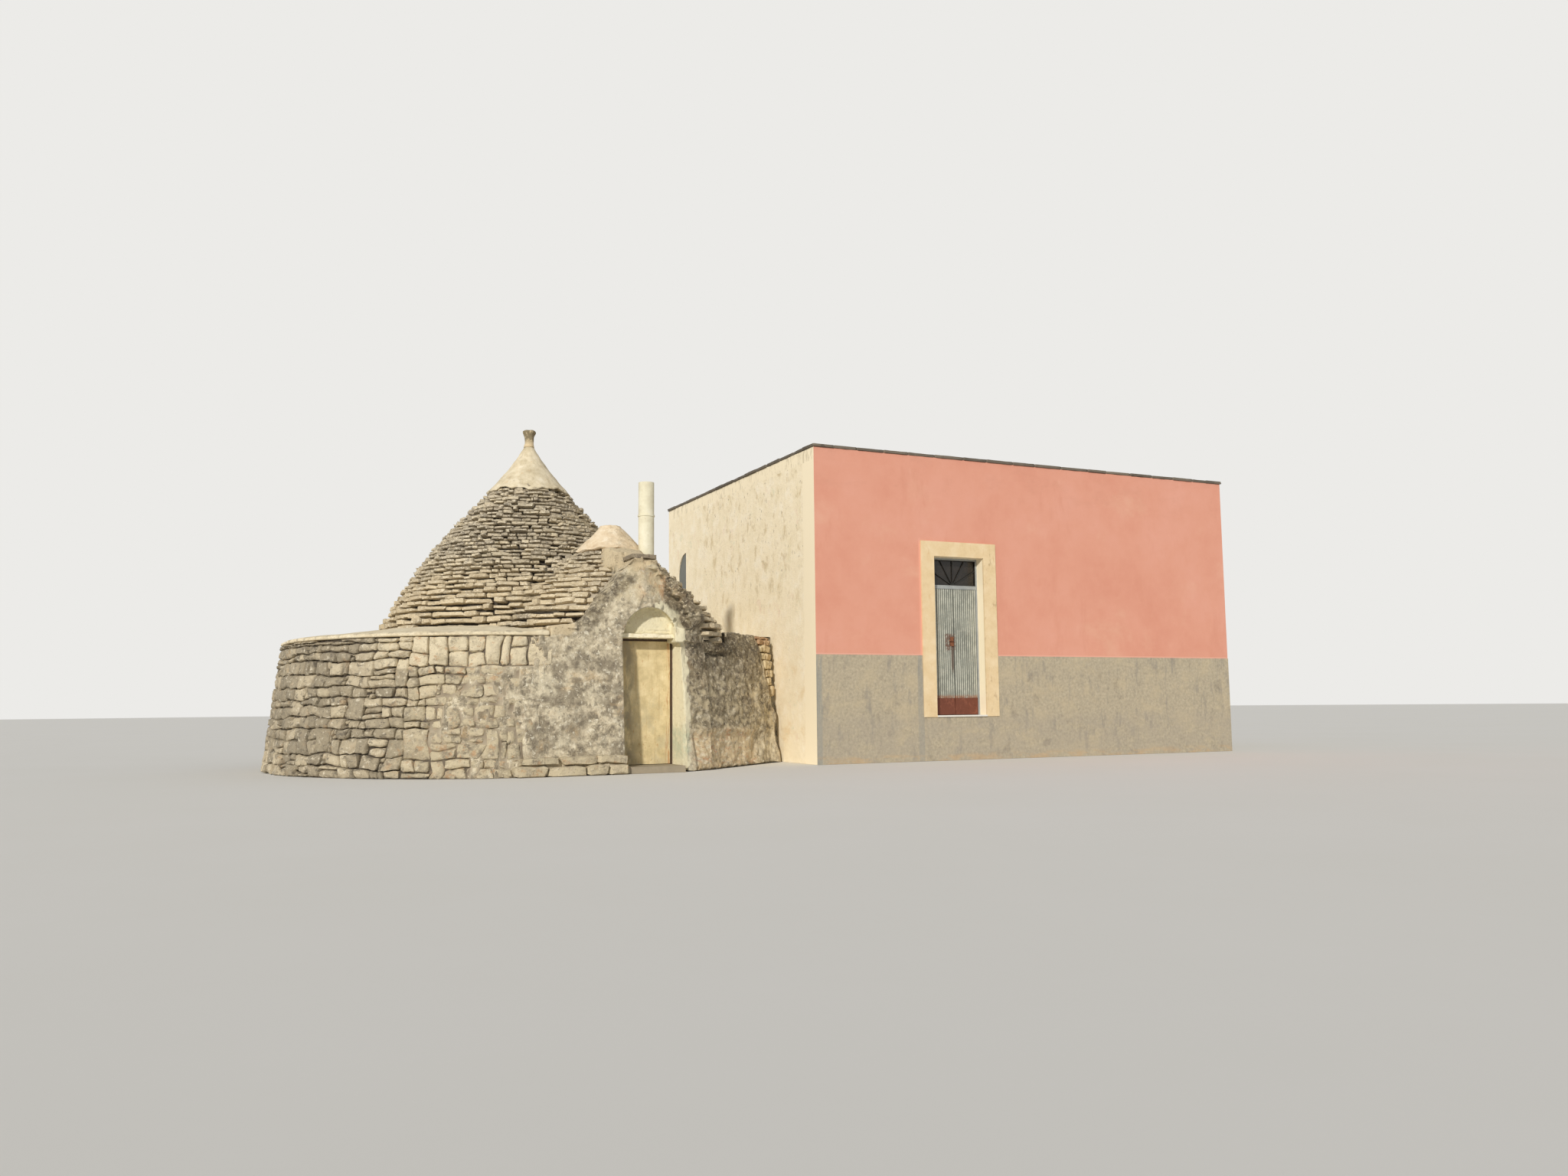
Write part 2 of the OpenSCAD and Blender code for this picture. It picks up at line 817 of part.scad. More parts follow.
module trullo_door_frame() {
    y0 = -leaf_d;
    y1 = y0 + leaf_t;
    color("saddlebrown") union() {
        box(doorway_left, doorway_left + post_w, y0, y1, threshold_h, drum_h);
        box(doorway_right - post_w, doorway_right, y0, y1, threshold_h, drum_h);
        box(doorway_left, doorway_right, y0, y1, drum_h - post_w, drum_h);
        for (z = trullo_hinge_z)
            translate([doorway_right - post_w - leaf_gap / 2, y1 + barrel_r, z])
                mirror([1, 0, 0]) hinge_pin(post_w);
    }
}

module trullo_door() {
    color("khaki") union() {
        box(trullo_leaf_left, trullo_leaf_right, -leaf_d, -leaf_d + leaf_t,
            trullo_leaf_foot, trullo_leaf_top);
        for (z = trullo_hinge_z)
            translate([trullo_leaf_right + leaf_gap / 2, -leaf_d + leaf_t + barrel_r, z])
                mirror([1, 0, 0]) hinge_knuckle();
    }
}

module block_floor() {
    color("gray") box(block_x + wall_t, right_x - wall_t, front_y + wall_t, back_y - wall_t,
        block_floor_z - block_floor_t, block_floor_z);
}

// Straight and high on the side to the front, with a quarter of a round arch over the rest
module window_outline(gap) {
    spring_z = window_top_z - window_w;
    intersection() {
        translate([gap, window_foot_z]) square([window_w - 2 * gap, window_top_z - window_foot_z]);
        union() {
            translate([0, window_foot_z]) square([window_w, spring_z - window_foot_z]);
            translate([0, spring_z]) circle(window_w - gap);
        }
    }
}

// A solid with the window's outline, from one distance inside the left wall's face to another
module window_block(from, to, gap = 0) {
    translate([block_x + from, front_y + window_y, 0])
        rotate([90, 0, 90])
            linear_extrude(to - from) window_outline(gap);
}

module left_wall() {
    color("antiquewhite") difference() {
        box(block_x, block_x + wall_t, front_y + wall_t, back_y, 0, wall_h);
        window_block(-over, wall_t + over);
    }
}

module back_wall() {
    color("antiquewhite") box(block_x + wall_t, right_x - wall_t, back_y - wall_t, back_y, 0, wall_h);
}

module right_wall() {
    color("antiquewhite") box(right_x - wall_t, right_x, front_y + wall_t, back_y, 0, wall_h);
}

module front_wall_left() {
    color("lightsalmon") box(block_x, opening_left, front_y, front_y + wall_t, 0, wall_h);
}

module front_wall_right() {
    color("lightsalmon") box(opening_right, right_x, front_y, front_y + wall_t, 0, wall_h);
}

module front_wall_head() {
    color("lightsalmon") box(opening_left, opening_right, front_y, front_y + wall_t, opening_top_z, wall_h);
}

module front_wall_foot() {
    color("gray") box(opening_left, opening_right, front_y, front_y + wall_t, 0, block_floor_z);
}

module roof_slab() {
    color("silver") box(block_x, right_x, front_y, back_y, wall_h, wall_top);
}

module roof_edge() {
    color("dimgray") difference() {
        box(block_x - edge_out, right_x + edge_out, front_y - edge_out, back_y + edge_out,
            wall_top, wall_top + edge_t);
        box(block_x + edge_w, right_x - edge_w, front_y + edge_w, back_y - edge_w,
            wall_top - over, wall_top + far);
    }
}

module front_dado() {
    color("gray") union() {
        box(block_x, opening_left - surround_w, front_y - dado_t, front_y, 0, dado_h);
        box(opening_right + surround_w, right_x, front_y - dado_t, front_y, 0, dado_h);
        box(opening_left - surround_w, opening_right + surround_w,
            front_y - dado_t, front_y, 0, block_floor_z);
    }
}

module surround_left() {
    color("wheat") box(opening_left - surround_w, opening_left, front_y - surround_out, front_y,
        block_floor_z, opening_top_z);
}

module surround_right() {
    color("wheat") box(opening_right, opening_right + surround_w, front_y - surround_out, front_y,
        block_floor_z, opening_top_z);
}

module surround_head() {
    color("wheat") box(opening_left - surround_w, opening_right + surround_w,
        front_y - surround_out, front_y,
        opening_top_z, opening_top_z + surround_w);
}

module door_sill() {
    color("white") box(opening_left, opening_right, front_y - surround_out - sill_nose, front_y + wall_t,
        block_floor_z, sill_z);
}

module block_door_frame() {
    y0 = front_y + reveal_d;
    y1 = y0 + frame_d;
    color("silver") union() {
        box(opening_left, opening_left + frame_w, y0, y1, sill_z, opening_top_z);
        box(opening_right - frame_w, opening_right, y0, y1, sill_z, opening_top_z);
        box(opening_left, opening_right, y0, y1, opening_top_z - frame_w, opening_top_z);
        box(opening_left, opening_right, y0, y1, bar_z, bar_z + bar_h);
        for (z = leaf_hinge_z) {
            translate([opening_left + frame_w + leaf_gap / 2, y1 + barrel_r, z]) hinge_pin(frame_w);
            translate([opening_right - frame_w - leaf_gap / 2, y1 + barrel_r, z])
                mirror([1, 0, 0]) hinge_pin(frame_w);
        }
    }
}

module transom_glass() {
    color([0.2, 0.22, 0.22]) box(opening_left + frame_w, opening_right - frame_w,
        front_y + reveal_d + frame_d - glass_t, front_y + reveal_d + frame_d,
        bar_z + bar_h, opening_top_z - frame_w);
}

// Iron bars that fan out from the middle of the bar, inside a thin rim
module transom_grille() {
    y0 = front_y + reveal_d + grille_in;
    x0 = opening_left + frame_w;
    x1 = opening_right - frame_w;
    z0 = bar_z + bar_h;
    z1 = opening_top_z - frame_w;
    mid = (x0 + x1) / 2;
    color("black") intersection() {
        box(x0, x1, y0, y0 + grille_t, z0, z1);
        union() {
            box(x0, x0 + grille_t, -far, far, z0, z1);
            box(x1 - grille_t, x1, -far, far, z0, z1);
            box(x0, x1, -far, far, z0, z0 + grille_t);
            box(x0, x1, -far, far, z1 - grille_t, z1);
            for (i = [1 : fan_bars])
                translate([mid, 0, z0])
                    rotate([0, -180 * i / (fan_bars + 1), 0])
                        translate([0, -far, -grille_t / 2]) cube([far, 2 * far, grille_t]);
        }
    }
}

// One leaf of ribbed sheet, drawn from its hinge edge at x = 0 towards +x
module leaf_shape() {
    pitch = leaf_w / rib_count;
    union() {
        box(0, leaf_w, 0, sheet_t, leaf_foot, leaf_top);
        for (i = [0 : rib_count - 1])
            translate([(i + 0.5) * pitch, 0, leaf_foot + kick_h])
                linear_extrude(leaf_top - leaf_foot - kick_h)
                    polygon([
                        [-pitch * 0.3, 0.01],
                        [-pitch * 0.16, -rib_h],
                        [pitch * 0.16, -rib_h],
                        [pitch * 0.3, 0.01]
                    ]);
        box(0, leaf_w, -kick_t, 0.01, leaf_foot, leaf_foot + kick_h);
        for (z = leaf_hinge_z)
            translate([-leaf_gap / 2, sheet_t + barrel_r, z]) hinge_knuckle();
    }
}

module left_leaf() {
    color("lightsteelblue") translate([opening_left + frame_w + leaf_gap, sheet_y, 0]) leaf_shape();
}

module right_leaf() {
    color("lightsteelblue") translate([opening_right - frame_w - leaf_gap, sheet_y, 0])
        mirror([1, 0, 0]) leaf_shape();
}

module door_lock() {
    knob_r = lock_w / 5;
    bolt_h = lock_w / 3;
    bolt_t = lock_w / 4;
    knob_z = lock_h * 0.6;
    x1 = opening_left + frame_w + leaf_gap + leaf_w - meeting_gap;
    color("sienna") translate([x1 - lock_w, sheet_y - rib_h - lock_t, lock_z - lock_h / 2]) union() {
        cube([lock_w, lock_t, lock_h]);
        translate([lock_w / 2, 0, knob_z]) rotate([90, 0, 0]) cylinder(r = knob_r, h = lock_reach);
        translate([-lock_reach, -lock_reach, knob_z - bolt_h / 2])
            cube([lock_w / 2 + lock_reach, bolt_t, bolt_h]);
    }
}

module side_window_shutter() {
    color("slategray") window_block(shutter_in, shutter_in + shutter_t, seat);
}

trullo_floor();
drum_right();
drum_back_right();
drum_back_left();
drum_left();
drum_front_left();
facade_left_pier();
facade_right_pier();
right_wing();
drum_ledge();
dome_lower();
dome_upper();
main_slates();
cone_cap();
pinnacle();
small_dome();
small_slates();
small_cap();
chimney();
gable();
gable_capstone();
door_lintel();
threshold();
footing_stones();
trullo_door_frame();
trullo_door();
block_floor();
left_wall();
back_wall();
right_wall();
front_wall_left();
front_wall_right();
front_wall_head();
front_wall_foot();
roof_slab();
roof_edge();
front_dado();
surround_left();
surround_right();
surround_head();
door_sill();
block_door_frame();
transom_glass();
transom_grille();
left_leaf();
right_leaf();
door_lock();
side_window_shutter();
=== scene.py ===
"""Looks of the trullo farmhouse: loose slates, rubble, old plaster, render, ribbed sheet doors and studio light."""

import math
import random

import bmesh
import bpy
import numpy as np
from mathutils import Matrix, Vector, noise


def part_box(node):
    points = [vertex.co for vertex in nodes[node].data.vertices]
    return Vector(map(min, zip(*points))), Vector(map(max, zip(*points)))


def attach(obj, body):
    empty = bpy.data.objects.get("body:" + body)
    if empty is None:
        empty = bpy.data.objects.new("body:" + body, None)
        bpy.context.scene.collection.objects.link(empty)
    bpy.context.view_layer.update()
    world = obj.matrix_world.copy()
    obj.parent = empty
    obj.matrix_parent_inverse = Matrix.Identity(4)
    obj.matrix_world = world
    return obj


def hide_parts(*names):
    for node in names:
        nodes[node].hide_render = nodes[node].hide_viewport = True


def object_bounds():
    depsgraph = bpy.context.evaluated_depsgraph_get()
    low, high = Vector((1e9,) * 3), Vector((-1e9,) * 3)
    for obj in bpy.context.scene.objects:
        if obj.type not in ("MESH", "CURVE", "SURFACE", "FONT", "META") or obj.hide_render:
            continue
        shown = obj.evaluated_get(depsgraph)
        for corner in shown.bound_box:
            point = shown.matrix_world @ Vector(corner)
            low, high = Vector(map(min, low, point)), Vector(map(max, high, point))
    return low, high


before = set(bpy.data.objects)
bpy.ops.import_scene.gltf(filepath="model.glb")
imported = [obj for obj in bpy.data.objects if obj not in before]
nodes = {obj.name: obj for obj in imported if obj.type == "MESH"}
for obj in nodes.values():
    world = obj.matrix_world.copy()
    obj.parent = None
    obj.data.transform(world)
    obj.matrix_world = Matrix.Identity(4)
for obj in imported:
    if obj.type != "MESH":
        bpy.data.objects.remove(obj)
cad_box = [list(corner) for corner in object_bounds()]
TAU = 2 * math.pi

# Sizes in metres, read from the frame
DRUM_BASE_R = -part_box("drum_left")[0].x
WALL_TOP, LEDGE_TOP_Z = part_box("drum_ledge")[0].z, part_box("drum_ledge")[1].z
PLINTH_R, SLATES_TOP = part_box("main_slates")[1].x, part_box("main_slates")[1].z
SMALL_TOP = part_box("small_slates")[1].z
CAP_R, CAP_FOOT, CAP_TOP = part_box("cone_cap")[1].x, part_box("cone_cap")[0].z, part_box("cone_cap")[1].z
PINNACLE_TOP, CAPSTONE_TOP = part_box("pinnacle")[1].z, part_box("gable_capstone")[1].z
BLOCK_X, BLOCK_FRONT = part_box("left_wall")[0].x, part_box("front_wall_left")[0].y
DOOR_X0, DOOR_X1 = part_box("facade_left_pier")[1].x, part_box("facade_right_pier")[0].x
DOOR_MIDDLE = (DOOR_X0 + DOOR_X1) / 2
DADO_TOP, ROOF_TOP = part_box("front_dado")[1].z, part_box("roof_slab")[1].z
SURROUND_X0, SURROUND_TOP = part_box("surround_left")[0].x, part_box("surround_head")[1].z
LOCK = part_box("door_lock")
# Front of the ribs of the block's door
RIBS_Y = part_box("left_leaf")[0].y

# Sizes in metres that the boxes of the frame don't give
DRUM_TOP_R = 3.735
CONE_FOOT_R, CONE_TOP_R, CONE_SWELL = 2.34, 0.62, 0.16
SMALL_AXIS = Vector((0.78, -2.1))
SMALL_FOOT_R, SMALL_TOP_R, SMALL_SWELL = 1.70, 0.51, 0.069
NECK_R = 0.08
FRONT_FOOT, FRONT_LEAN = -3.75, math.tan(math.radians(4.5))
GABLE_TOP, NICHE_FOOT = 3.0, 1.935

# Camera, solved from the vanishing lines of the block and the horizon
CAMERA_AT = Vector((-4.43, -19.363, 0.903))
CAMERA_YAW, CAMERA_PITCH, CAMERA_ROLL = math.radians(25.208), math.radians(5.701), math.radians(-0.575)
LENS, SENSOR = 27.105, 36.0


def smooth(edge0, edge1, value):
    """A soft step from 0 at the first edge to 1 at the second, which may be the lower one."""
    t = min(1.0, max(0.0, (value - edge0) / (edge1 - edge0)))
    return t * t * (3 - 2 * t)


def srgb(code):
    """Linear colour of an sRGB hex code."""
    parts = [int(code[i:i + 2], 16) / 255 for i in (1, 3, 5)]
    return [c / 12.92 if c <= 0.04045 else ((c + 0.055) / 1.055) ** 2.4 for c in parts] + [1.0]


def deselect():
    bpy.ops.object.select_all(action="DESELECT")


def pick(piece):
    """Make one piece the only selected and active one."""
    deselect()
    piece.select_set(True)
    bpy.context.view_layer.objects.active = piece


def modify(piece, kind, **settings):
    """Add a modifier with its settings and apply it."""
    pick(piece)
    bpy.ops.object.modifier_add(type=kind)
    mod = piece.modifiers[-1]
    for key, value in settings.items():
        setattr(mod, key, value)
    bpy.ops.object.modifier_apply(modifier=mod.name)


def add(tree, kind, inputs=None, **settings):
    """Add one node: settings on the node, inputs as values or as sockets to link."""
    made = tree.nodes.new(kind)
    for key, value in settings.items():
        setattr(made, key, value)
    for key, value in (inputs or {}).items():
        if isinstance(value, bpy.types.NodeSocket):
            tree.links.new(value, made.inputs[key])
        else:
            made.inputs[key].default_value = value
    return made


def edit_all(piece, *operators):
    """Run mesh operators, each with its settings, on the whole of a piece."""
    pick(piece)
    bpy.ops.object.mode_set(mode="EDIT")
    bpy.ops.mesh.select_all(action="SELECT")
    for operator, settings in operators:
        operator(**settings)
    bpy.ops.object.mode_set(mode="OBJECT")


def remesh(piece, voxel, smoothings):
    """Turn a piece into one even net of faces with softened edges."""
    piece.data.remesh_voxel_size = voxel
    pick(piece)
    bpy.ops.object.voxel_remesh()
    modify(piece, "SMOOTH", factor=0.5, iterations=smoothings)


def with_normals(piece):
    """Each vertex with the normal it has before any of them moves."""
    normals = [vert.normal.copy() for vert in piece.data.vertices]
    return zip(piece.data.vertices, normals)


def smooth_dress(piece, material):
    dress(piece, material)
    pick(piece)
    bpy.ops.object.shade_smooth()


def write_values(piece, name, values):
    """Keep one number for each vertex, for a material to read."""
    kept = piece.data.attributes.new(name, "FLOAT", "POINT")
    kept.data.foreach_set("value", np.array(values, np.float32))


def new_mesh_piece(name, verts, faces):
    mesh = bpy.data.meshes.new(name)
    mesh.from_pydata([tuple(v) for v in verts], [], faces)
    mesh.update()
    piece = bpy.data.objects.new(name, mesh)
    bpy.context.scene.collection.objects.link(piece)
    return piece


# The main forms at one height: radii of the two cones and of the round wall, and the y of the leaning front

def swell(r0, r1, bulge, t):
    """A radius that goes from r0 to r1 and bulges half-way."""
    return r0 + (r1 - r0) * t + bulge * 4 * t * (1 - t)


def main_r(z):
    return swell(CONE_FOOT_R, CONE_TOP_R, CONE_SWELL, (z - LEDGE_TOP_Z) / (SLATES_TOP - LEDGE_TOP_Z))


def small_r(z):
    return swell(SMALL_FOOT_R, SMALL_TOP_R, SMALL_SWELL, (z - LEDGE_TOP_Z) / (SMALL_TOP - LEDGE_TOP_Z))


def drum_r(z):
    return DRUM_BASE_R - (DRUM_BASE_R - DRUM_TOP_R) * z / WALL_TOP


def front_y(z):
    return FRONT_FOOT + FRONT_LEAN * z


# Materials. Sizes of patterns are in millimetres, heights of relief too.

def stained(tree, at, colour, stain):
    """Mix one more colour in where a noise passes a threshold.

    A stain is its colour, the size of its patches (or how wide and how tall they are), two thresholds, how
    much it covers, and regions that limit it: a direction with two distances along it, or the name of a
    value kept on the mesh.
    """
    hue, size, low, high, amount = stain[:5]
    across, tall = size if isinstance(size, tuple) else (size, size)
    scales = [1000 / across, 1000 / across, 1000 / tall]
    stretch = add(tree, "ShaderNodeVectorMath", {0: at, 1: scales}, operation="MULTIPLY")
    cloud = add(tree, "ShaderNodeTexNoise", {"Vector": stretch.outputs[0], "Scale": 1.0, "Detail": 12.0,
                                             "Roughness": 0.68, "Distortion": 0.2})
    mask = add(tree, "ShaderNodeMapRange", {"Value": cloud.outputs["Fac"], "From Min": low, "From Max": high,
                                            "To Max": amount}, interpolation_type="SMOOTHSTEP").outputs[0]
    for region in stain[5:]:
        if isinstance(region, str):
            start, end, reach = 0.55, 0.85, 0.7
            place = add(tree, "ShaderNodeAttribute", attribute_name=region).outputs["Fac"]
        else:
            direction, start, end = region
            reach = 0.5 * (end - start)
            place = add(tree, "ShaderNodeVectorMath", {0: at, 1: direction}, operation="DOT_PRODUCT").outputs["Value"]
        wander = add(tree, "ShaderNodeMath", {0: cloud.outputs["Fac"], 1: reach, 2: place}, operation="MULTIPLY_ADD")
        region = add(tree, "ShaderNodeMapRange", {"Value": wander.outputs[0], "From Min": start, "From Max": end},
                     interpolation_type="SMOOTHSTEP")
        mask = add(tree, "ShaderNodeMath", {0: mask, 1: region.outputs[0]}, operation="MULTIPLY").outputs[0]
    mix = add(tree, "ShaderNodeMix", {"Factor": mask, "A": colour, "B": srgb(hue)}, data_type="RGBA")
    return mix.outputs["Result"]


def weathered(name, tones, patch, stains=(), relief=(), roughness=0.9, metallic=0.0, tint=0.0, spread=0.2):
    """A mottled surface: tones picked by a noise and by each stone's own tint, then stains, then relief.

    Patch is how big the mottling is, spread how far its tones part, and relief a list of bump sizes and heights.
    """
    material = bpy.data.materials.new(name)
    material.use_nodes = True
    tree = material.node_tree
    shader = tree.nodes["Principled BSDF"]
    shader.inputs["Roughness"].default_value = roughness
    shader.inputs["IOR"].default_value = 1.5
    shader.inputs["Metallic"].default_value = metallic
    at = add(tree, "ShaderNodeTexCoord").outputs["Object"]
    cloud = add(tree, "ShaderNodeTexNoise", {"Vector": at, "Scale": 1000 / patch, "Detail": 9.0, "Roughness": 0.66})
    pick_at = cloud.outputs["Fac"]
    if tint:
        own = add(tree, "ShaderNodeAttribute", attribute_name="tint").outputs["Fac"]
        mixed = add(tree, "ShaderNodeMix", {"Factor": tint, "A": pick_at, "B": own}, data_type="FLOAT")
        pick_at = mixed.outputs["Result"]
    last = len(tones) - 1
    stops = [(i / last if tint else 0.5 + spread * (2 * i / last - 1), tone) for i, tone in enumerate(tones)]
    colour = add(tree, "ShaderNodeValToRGB", {"Fac": pick_at})
    colour.color_ramp.elements.remove(colour.color_ramp.elements[1])
    colour.color_ramp.elements[0].position = stops[0][0]
    colour.color_ramp.elements[0].color = srgb(stops[0][1])
    for place, tone in stops[1:]:
        colour.color_ramp.elements.new(place).color = srgb(tone)
    colour = colour.outputs["Color"]
    for stain in stains:
        colour = stained(tree, at, colour, stain)
    tree.links.new(colour, shader.inputs["Base Color"])
    normal = None
    for size, height in relief:
        grain = add(tree, "ShaderNodeTexNoise", {"Vector": at, "Scale": 1000 / size, "Detail": 5.0, "Roughness": 0.65})
        inputs = {"Height": grain.outputs["Fac"], "Strength": 1.0, "Distance": height / 1000}
        if normal:
            inputs["Normal"] = normal
        normal = add(tree, "ShaderNodeBump", inputs).outputs["Normal"]
    if normal:
        tree.links.new(normal, shader.inputs["Normal"])
    return material


UP, DOWN = (0.0, 0.0, 1.0), (0.0, 0.0, -1.0)
RIGHT, LEFT = (1.0, 0.0, 0.0), (-1.0, 0.0, 0.0)
BACK, FRONT = (0.0, 1.0, 0.0), (0.0, -1.0, 0.0)
# Along the wing's face, away from the entrance and back
WING, WING_BACK = (0.7562, 0.6543, 0.0), (-0.7562, -0.6543, 0.0)

# Thin limestone slabs split by hand: grey skin, warmer where the lichen is thin, pale flecks painted as highlight; the
# joints are dark from the core behind, painted as shade
SLATE_TONES = ["#7E7464", "#A99D87", "#C0B49B", "#A89C87", "#D2C4A7", "#BFB29A", "#E4D8BE"]
slate_stone = weathered("limestone_slates", SLATE_TONES, 45, [
    ("#5A5248", (70, 30), 0.51, 0.62, 0.8),
    ("#DAC7A2", (500, 300), 0.3, 0.5, 0.5, (DOWN, -3.2, -2.4)),
    # Painted highlight: pale flecks on the slates' faces
    ("#F1E8D2", (40, 22), 0.55, 0.63, 0.75),
], [(35, 12), (9, 4)], tint=0.75)

# Dry-laid limestone rubble, weathered grey with pale fresh faces and rusty earth in the joints
rubble_stone = weathered("limestone_rubble", ["#7F7562", "#A89B82", "#938873", "#B9AB90", "#CDBFA2", "#A99D86"], 80, [
    ("#665E52", (110, 70), 0.53, 0.64, 0.75),
    ("#E6DCC4", (80, 60), 0.55, 0.65, 0.7),
    ("#B3936C", (260, 180), 0.56, 0.7, 0.5),
    ("#CDBF9F", (100, 90), 0.4, 0.54, 0.75, (RIGHT, -2.5, -1.7), (FRONT, 1.5, 2.0)),
    ("#E2D4B5", (200, 160), 0.36, 0.52, 0.75, (UP, 1.44, 1.47), (RIGHT, -2.8, -2.4), (FRONT, 1.5, 2.0)),
    ("#B88A5E", (130, 110), 0.55, 0.66, 0.55, (RIGHT, -2.6, -1.9), (FRONT, 1.5, 2.0)),
    ("#565047", (30, 25), 0.58, 0.65, 0.6),
], [(60, 18), (22, 9), (7, 3.5)], tint=0.5)

# The gable's thin slab, and the mixed stones that the wing's end shows
slab_stone = weathered("weathered_slab", ["#6B6052", "#8C7F6B", "#AB9D83"], 60, [
    ("#4D453A", 60, 0.52, 0.62, 0.6),
], [(30, 6), (9, 3)])
bare_stone = weathered("bare_stone", ["#A06E52", "#BFA780", "#D2BF98", "#E4D5B2"], 70, [
    ("#7A6C56", (60, 50), 0.52, 0.64, 0.7),
], [(45, 10), (9, 4)], tint=0.8)

# What shows between slates: packed earth, painted dark as the shade deep in the joints
joint_painted_shade = weathered("joint_shadow", ["#3A342C", "#4A4238"], 50, (), [(30, 6)])

# Earth and lime between the stones: dark where the joint is open, as earth and as painted shade, pale where it was
# smeared over the faces
mortar_and_joint_shade = weathered("mortar_and_joint_shade", ["#433B31", "#5A5044", "#8A7D6A", "#B3A68E", "#C6B99F"], 70, [
    ("#BE9C7A", (200, 160), 0.56, 0.7, 0.4),
    ("#857D6E", (70, 60), 0.54, 0.66, 0.55),
], [(45, 8), (9, 3)], tint=0.85)

# Old lime plaster: cream skin, grey-black lichen in patches, ochre where damp, white where washed. At the wing's foot
# it is warmer and patchier.
WING_BED = ((WING, -1.2, -1.0), (WING_BACK, -0.85, -0.5))
WING_FOOT = (*WING_BED, (DOWN, -0.6, -0.47))
old_plaster = weathered("old_lime_plaster", ["#8A806D", "#AEA28A", "#CBBDA1", "#DFD2B5", "#EFE4CA"], 105, [
    ("#877C69", (520, 460), 0.46, 0.6, 0.7),
    ("#E8DCBF", 340, 0.5, 0.62, 0.7),
    ("#C9A877", (500, 400), 0.54, 0.68, 0.5),
    ("#776C5A", (230, 180), 0.5, 0.6, 0.65, (LEFT, -0.7, -0.3), (DOWN, -1.6, -1.1)),
    ("#6F6555", (60, 90), 0.55, 0.64, 0.6),
    ("#F5EDD6", (60, 70), 0.56, 0.64, 0.75),
    ("#C38E5C", (200, 260), 0.47, 0.6, 0.65, (RIGHT, 0.75, 1.0), (UP, 2.3, 2.6)),
    ("#DCCBA5", 160, 0.42, 0.55, 0.6, (UP, 2.3, 2.7)),
    # Darker where the mesh marks lichen, and on the wing also painted shade of the grazing sun
    ("#85785F", (170, 120), 0.38, 0.54, 0.85, "lichen_and_shade"),
    ("#54493B", (130, 110), 0.5, 0.6, 0.7, "lichen_and_shade"),
    ("#D3C3A0", (150, 110), 0.47, 0.58, 0.75, "lichen_and_shade", (DOWN, -1.4, -0.9)),
    ("#4A4238", (160, 140), 0.46, 0.58, 0.5, "lichen_and_shade", (UP, 1.45, 1.75)),
    ("#DDCFB0", (55, 40), 0.56, 0.63, 0.8, "lichen_and_shade"),
    ("#D9C6A2", 160, 0.3, 0.42, 0.85, "cream"),
    ("#A08F72", 60, 0.52, 0.62, 0.6, "cream"),
    ("#E3CBA0", (160, 120), 0.36, 0.5, 0.8, *WING_FOOT),
    ("#B39B78", (60, 35), 0.52, 0.61, 0.65, *WING_FOOT),
    ("#F3E7CB", (90, 50), 0.52, 0.6, 0.8, *WING_FOOT),
    ("#C78F66", (160, 60), 0.54, 0.63, 0.6, *WING_BED, (DOWN, -0.6, -0.5)),
    ("#F6EDCB", (200, 300), 0.1, 0.3, 0.92, "wash"),
    ("#D9C8A0", (70, 120), 0.55, 0.65, 0.7, "wash"),
    ("#A3B79C", (170, 150), 0.3, 0.6, 0.5, (RIGHT, 1.33, 1.41), (LEFT, -1.53, -1.44), (UP, 0.14, 0.34),
     (DOWN, -0.66, -0.44)),
], [(120, 16), (40, 16), (14, 8), (5, 2.5)], spread=0.15)

# Newer plaster on the caps and the ledge, smoother and paler, with streaks that run down
cap_plaster = weathered("cap_plaster", ["#BFB090", "#CFC1A2", "#DFD2B5", "#EADFC6"], 160, [
    ("#A8997F", (90, 260), 0.55, 0.68, 0.5),
    ("#CFA97A", (70, 400), 0.58, 0.68, 0.5),
    ("#F0E5CC", 60, 0.62, 0.7, 0.6),
], [(60, 8), (9, 2.5)])
ledge_plaster = weathered("ledge_plaster", ["#CDBD9E", "#DDCFB0", "#E8DCC0"], 200, [
    ("#94866F", (150, 120), 0.56, 0.7, 0.5),
], [(70, 8), (10, 2)])

# Limewash on the lintel, worn to the stone in small spots
whitewash = weathered("whitewashed_stone", ["#D9CBA8", "#EFE4C4", "#F7EFD4"], 60, [
    ("#8D8471", (50, 30), 0.56, 0.66, 0.6),
], [(30, 5), (8, 2)], spread=0.15)

# The small cap: warm, greyer on its right side
small_cap_plaster = weathered("small_cap_plaster", ["#CDB594", "#DCC7A6", "#E6D4B6", "#EBDDC3"], 120, [
    ("#A99678", (90, 110), 0.48, 0.62, 0.6, (RIGHT, 0.6, 1.0)),
    ("#F0E5CC", 60, 0.58, 0.66, 0.5),
    ("#8F8270", (50, 60), 0.6, 0.68, 0.5, (RIGHT, 0.5, 0.9)),
], [(60, 8), (18, 4), (7, 2)])

# Soft stone, dark with lichen on top
pinnacle_stone = weathered("pinnacle_stone", ["#CDB994", "#D9C6A3"], 60, [
    ("#6A6048", 40, 0.3, 0.5, 0.85, (UP, 5.3, 5.42)),
], [(25, 5)])

# Cement pipe: pale and even, a few streaks and rust specks
pipe_cement = weathered("pipe_cement", ["#D3CBB0", "#E1DBC0", "#EAE5CE"], 200, [
    ("#A79B84", (90, 300), 0.58, 0.7, 0.6),
    ("#A5865C", (24, 40), 0.61, 0.67, 0.6),
], [(12, 1.5)])

# Inside: corbelled stone and worn floor
dome_stone = weathered("dome_stone", ["#A59A86", "#B8AD98", "#CBBFA8"], 150, (), [(60, 8), (10, 2)])
floor_flags = weathered("floor_flags", ["#8F8470", "#A3967F"], 200, (), [(80, 5)])

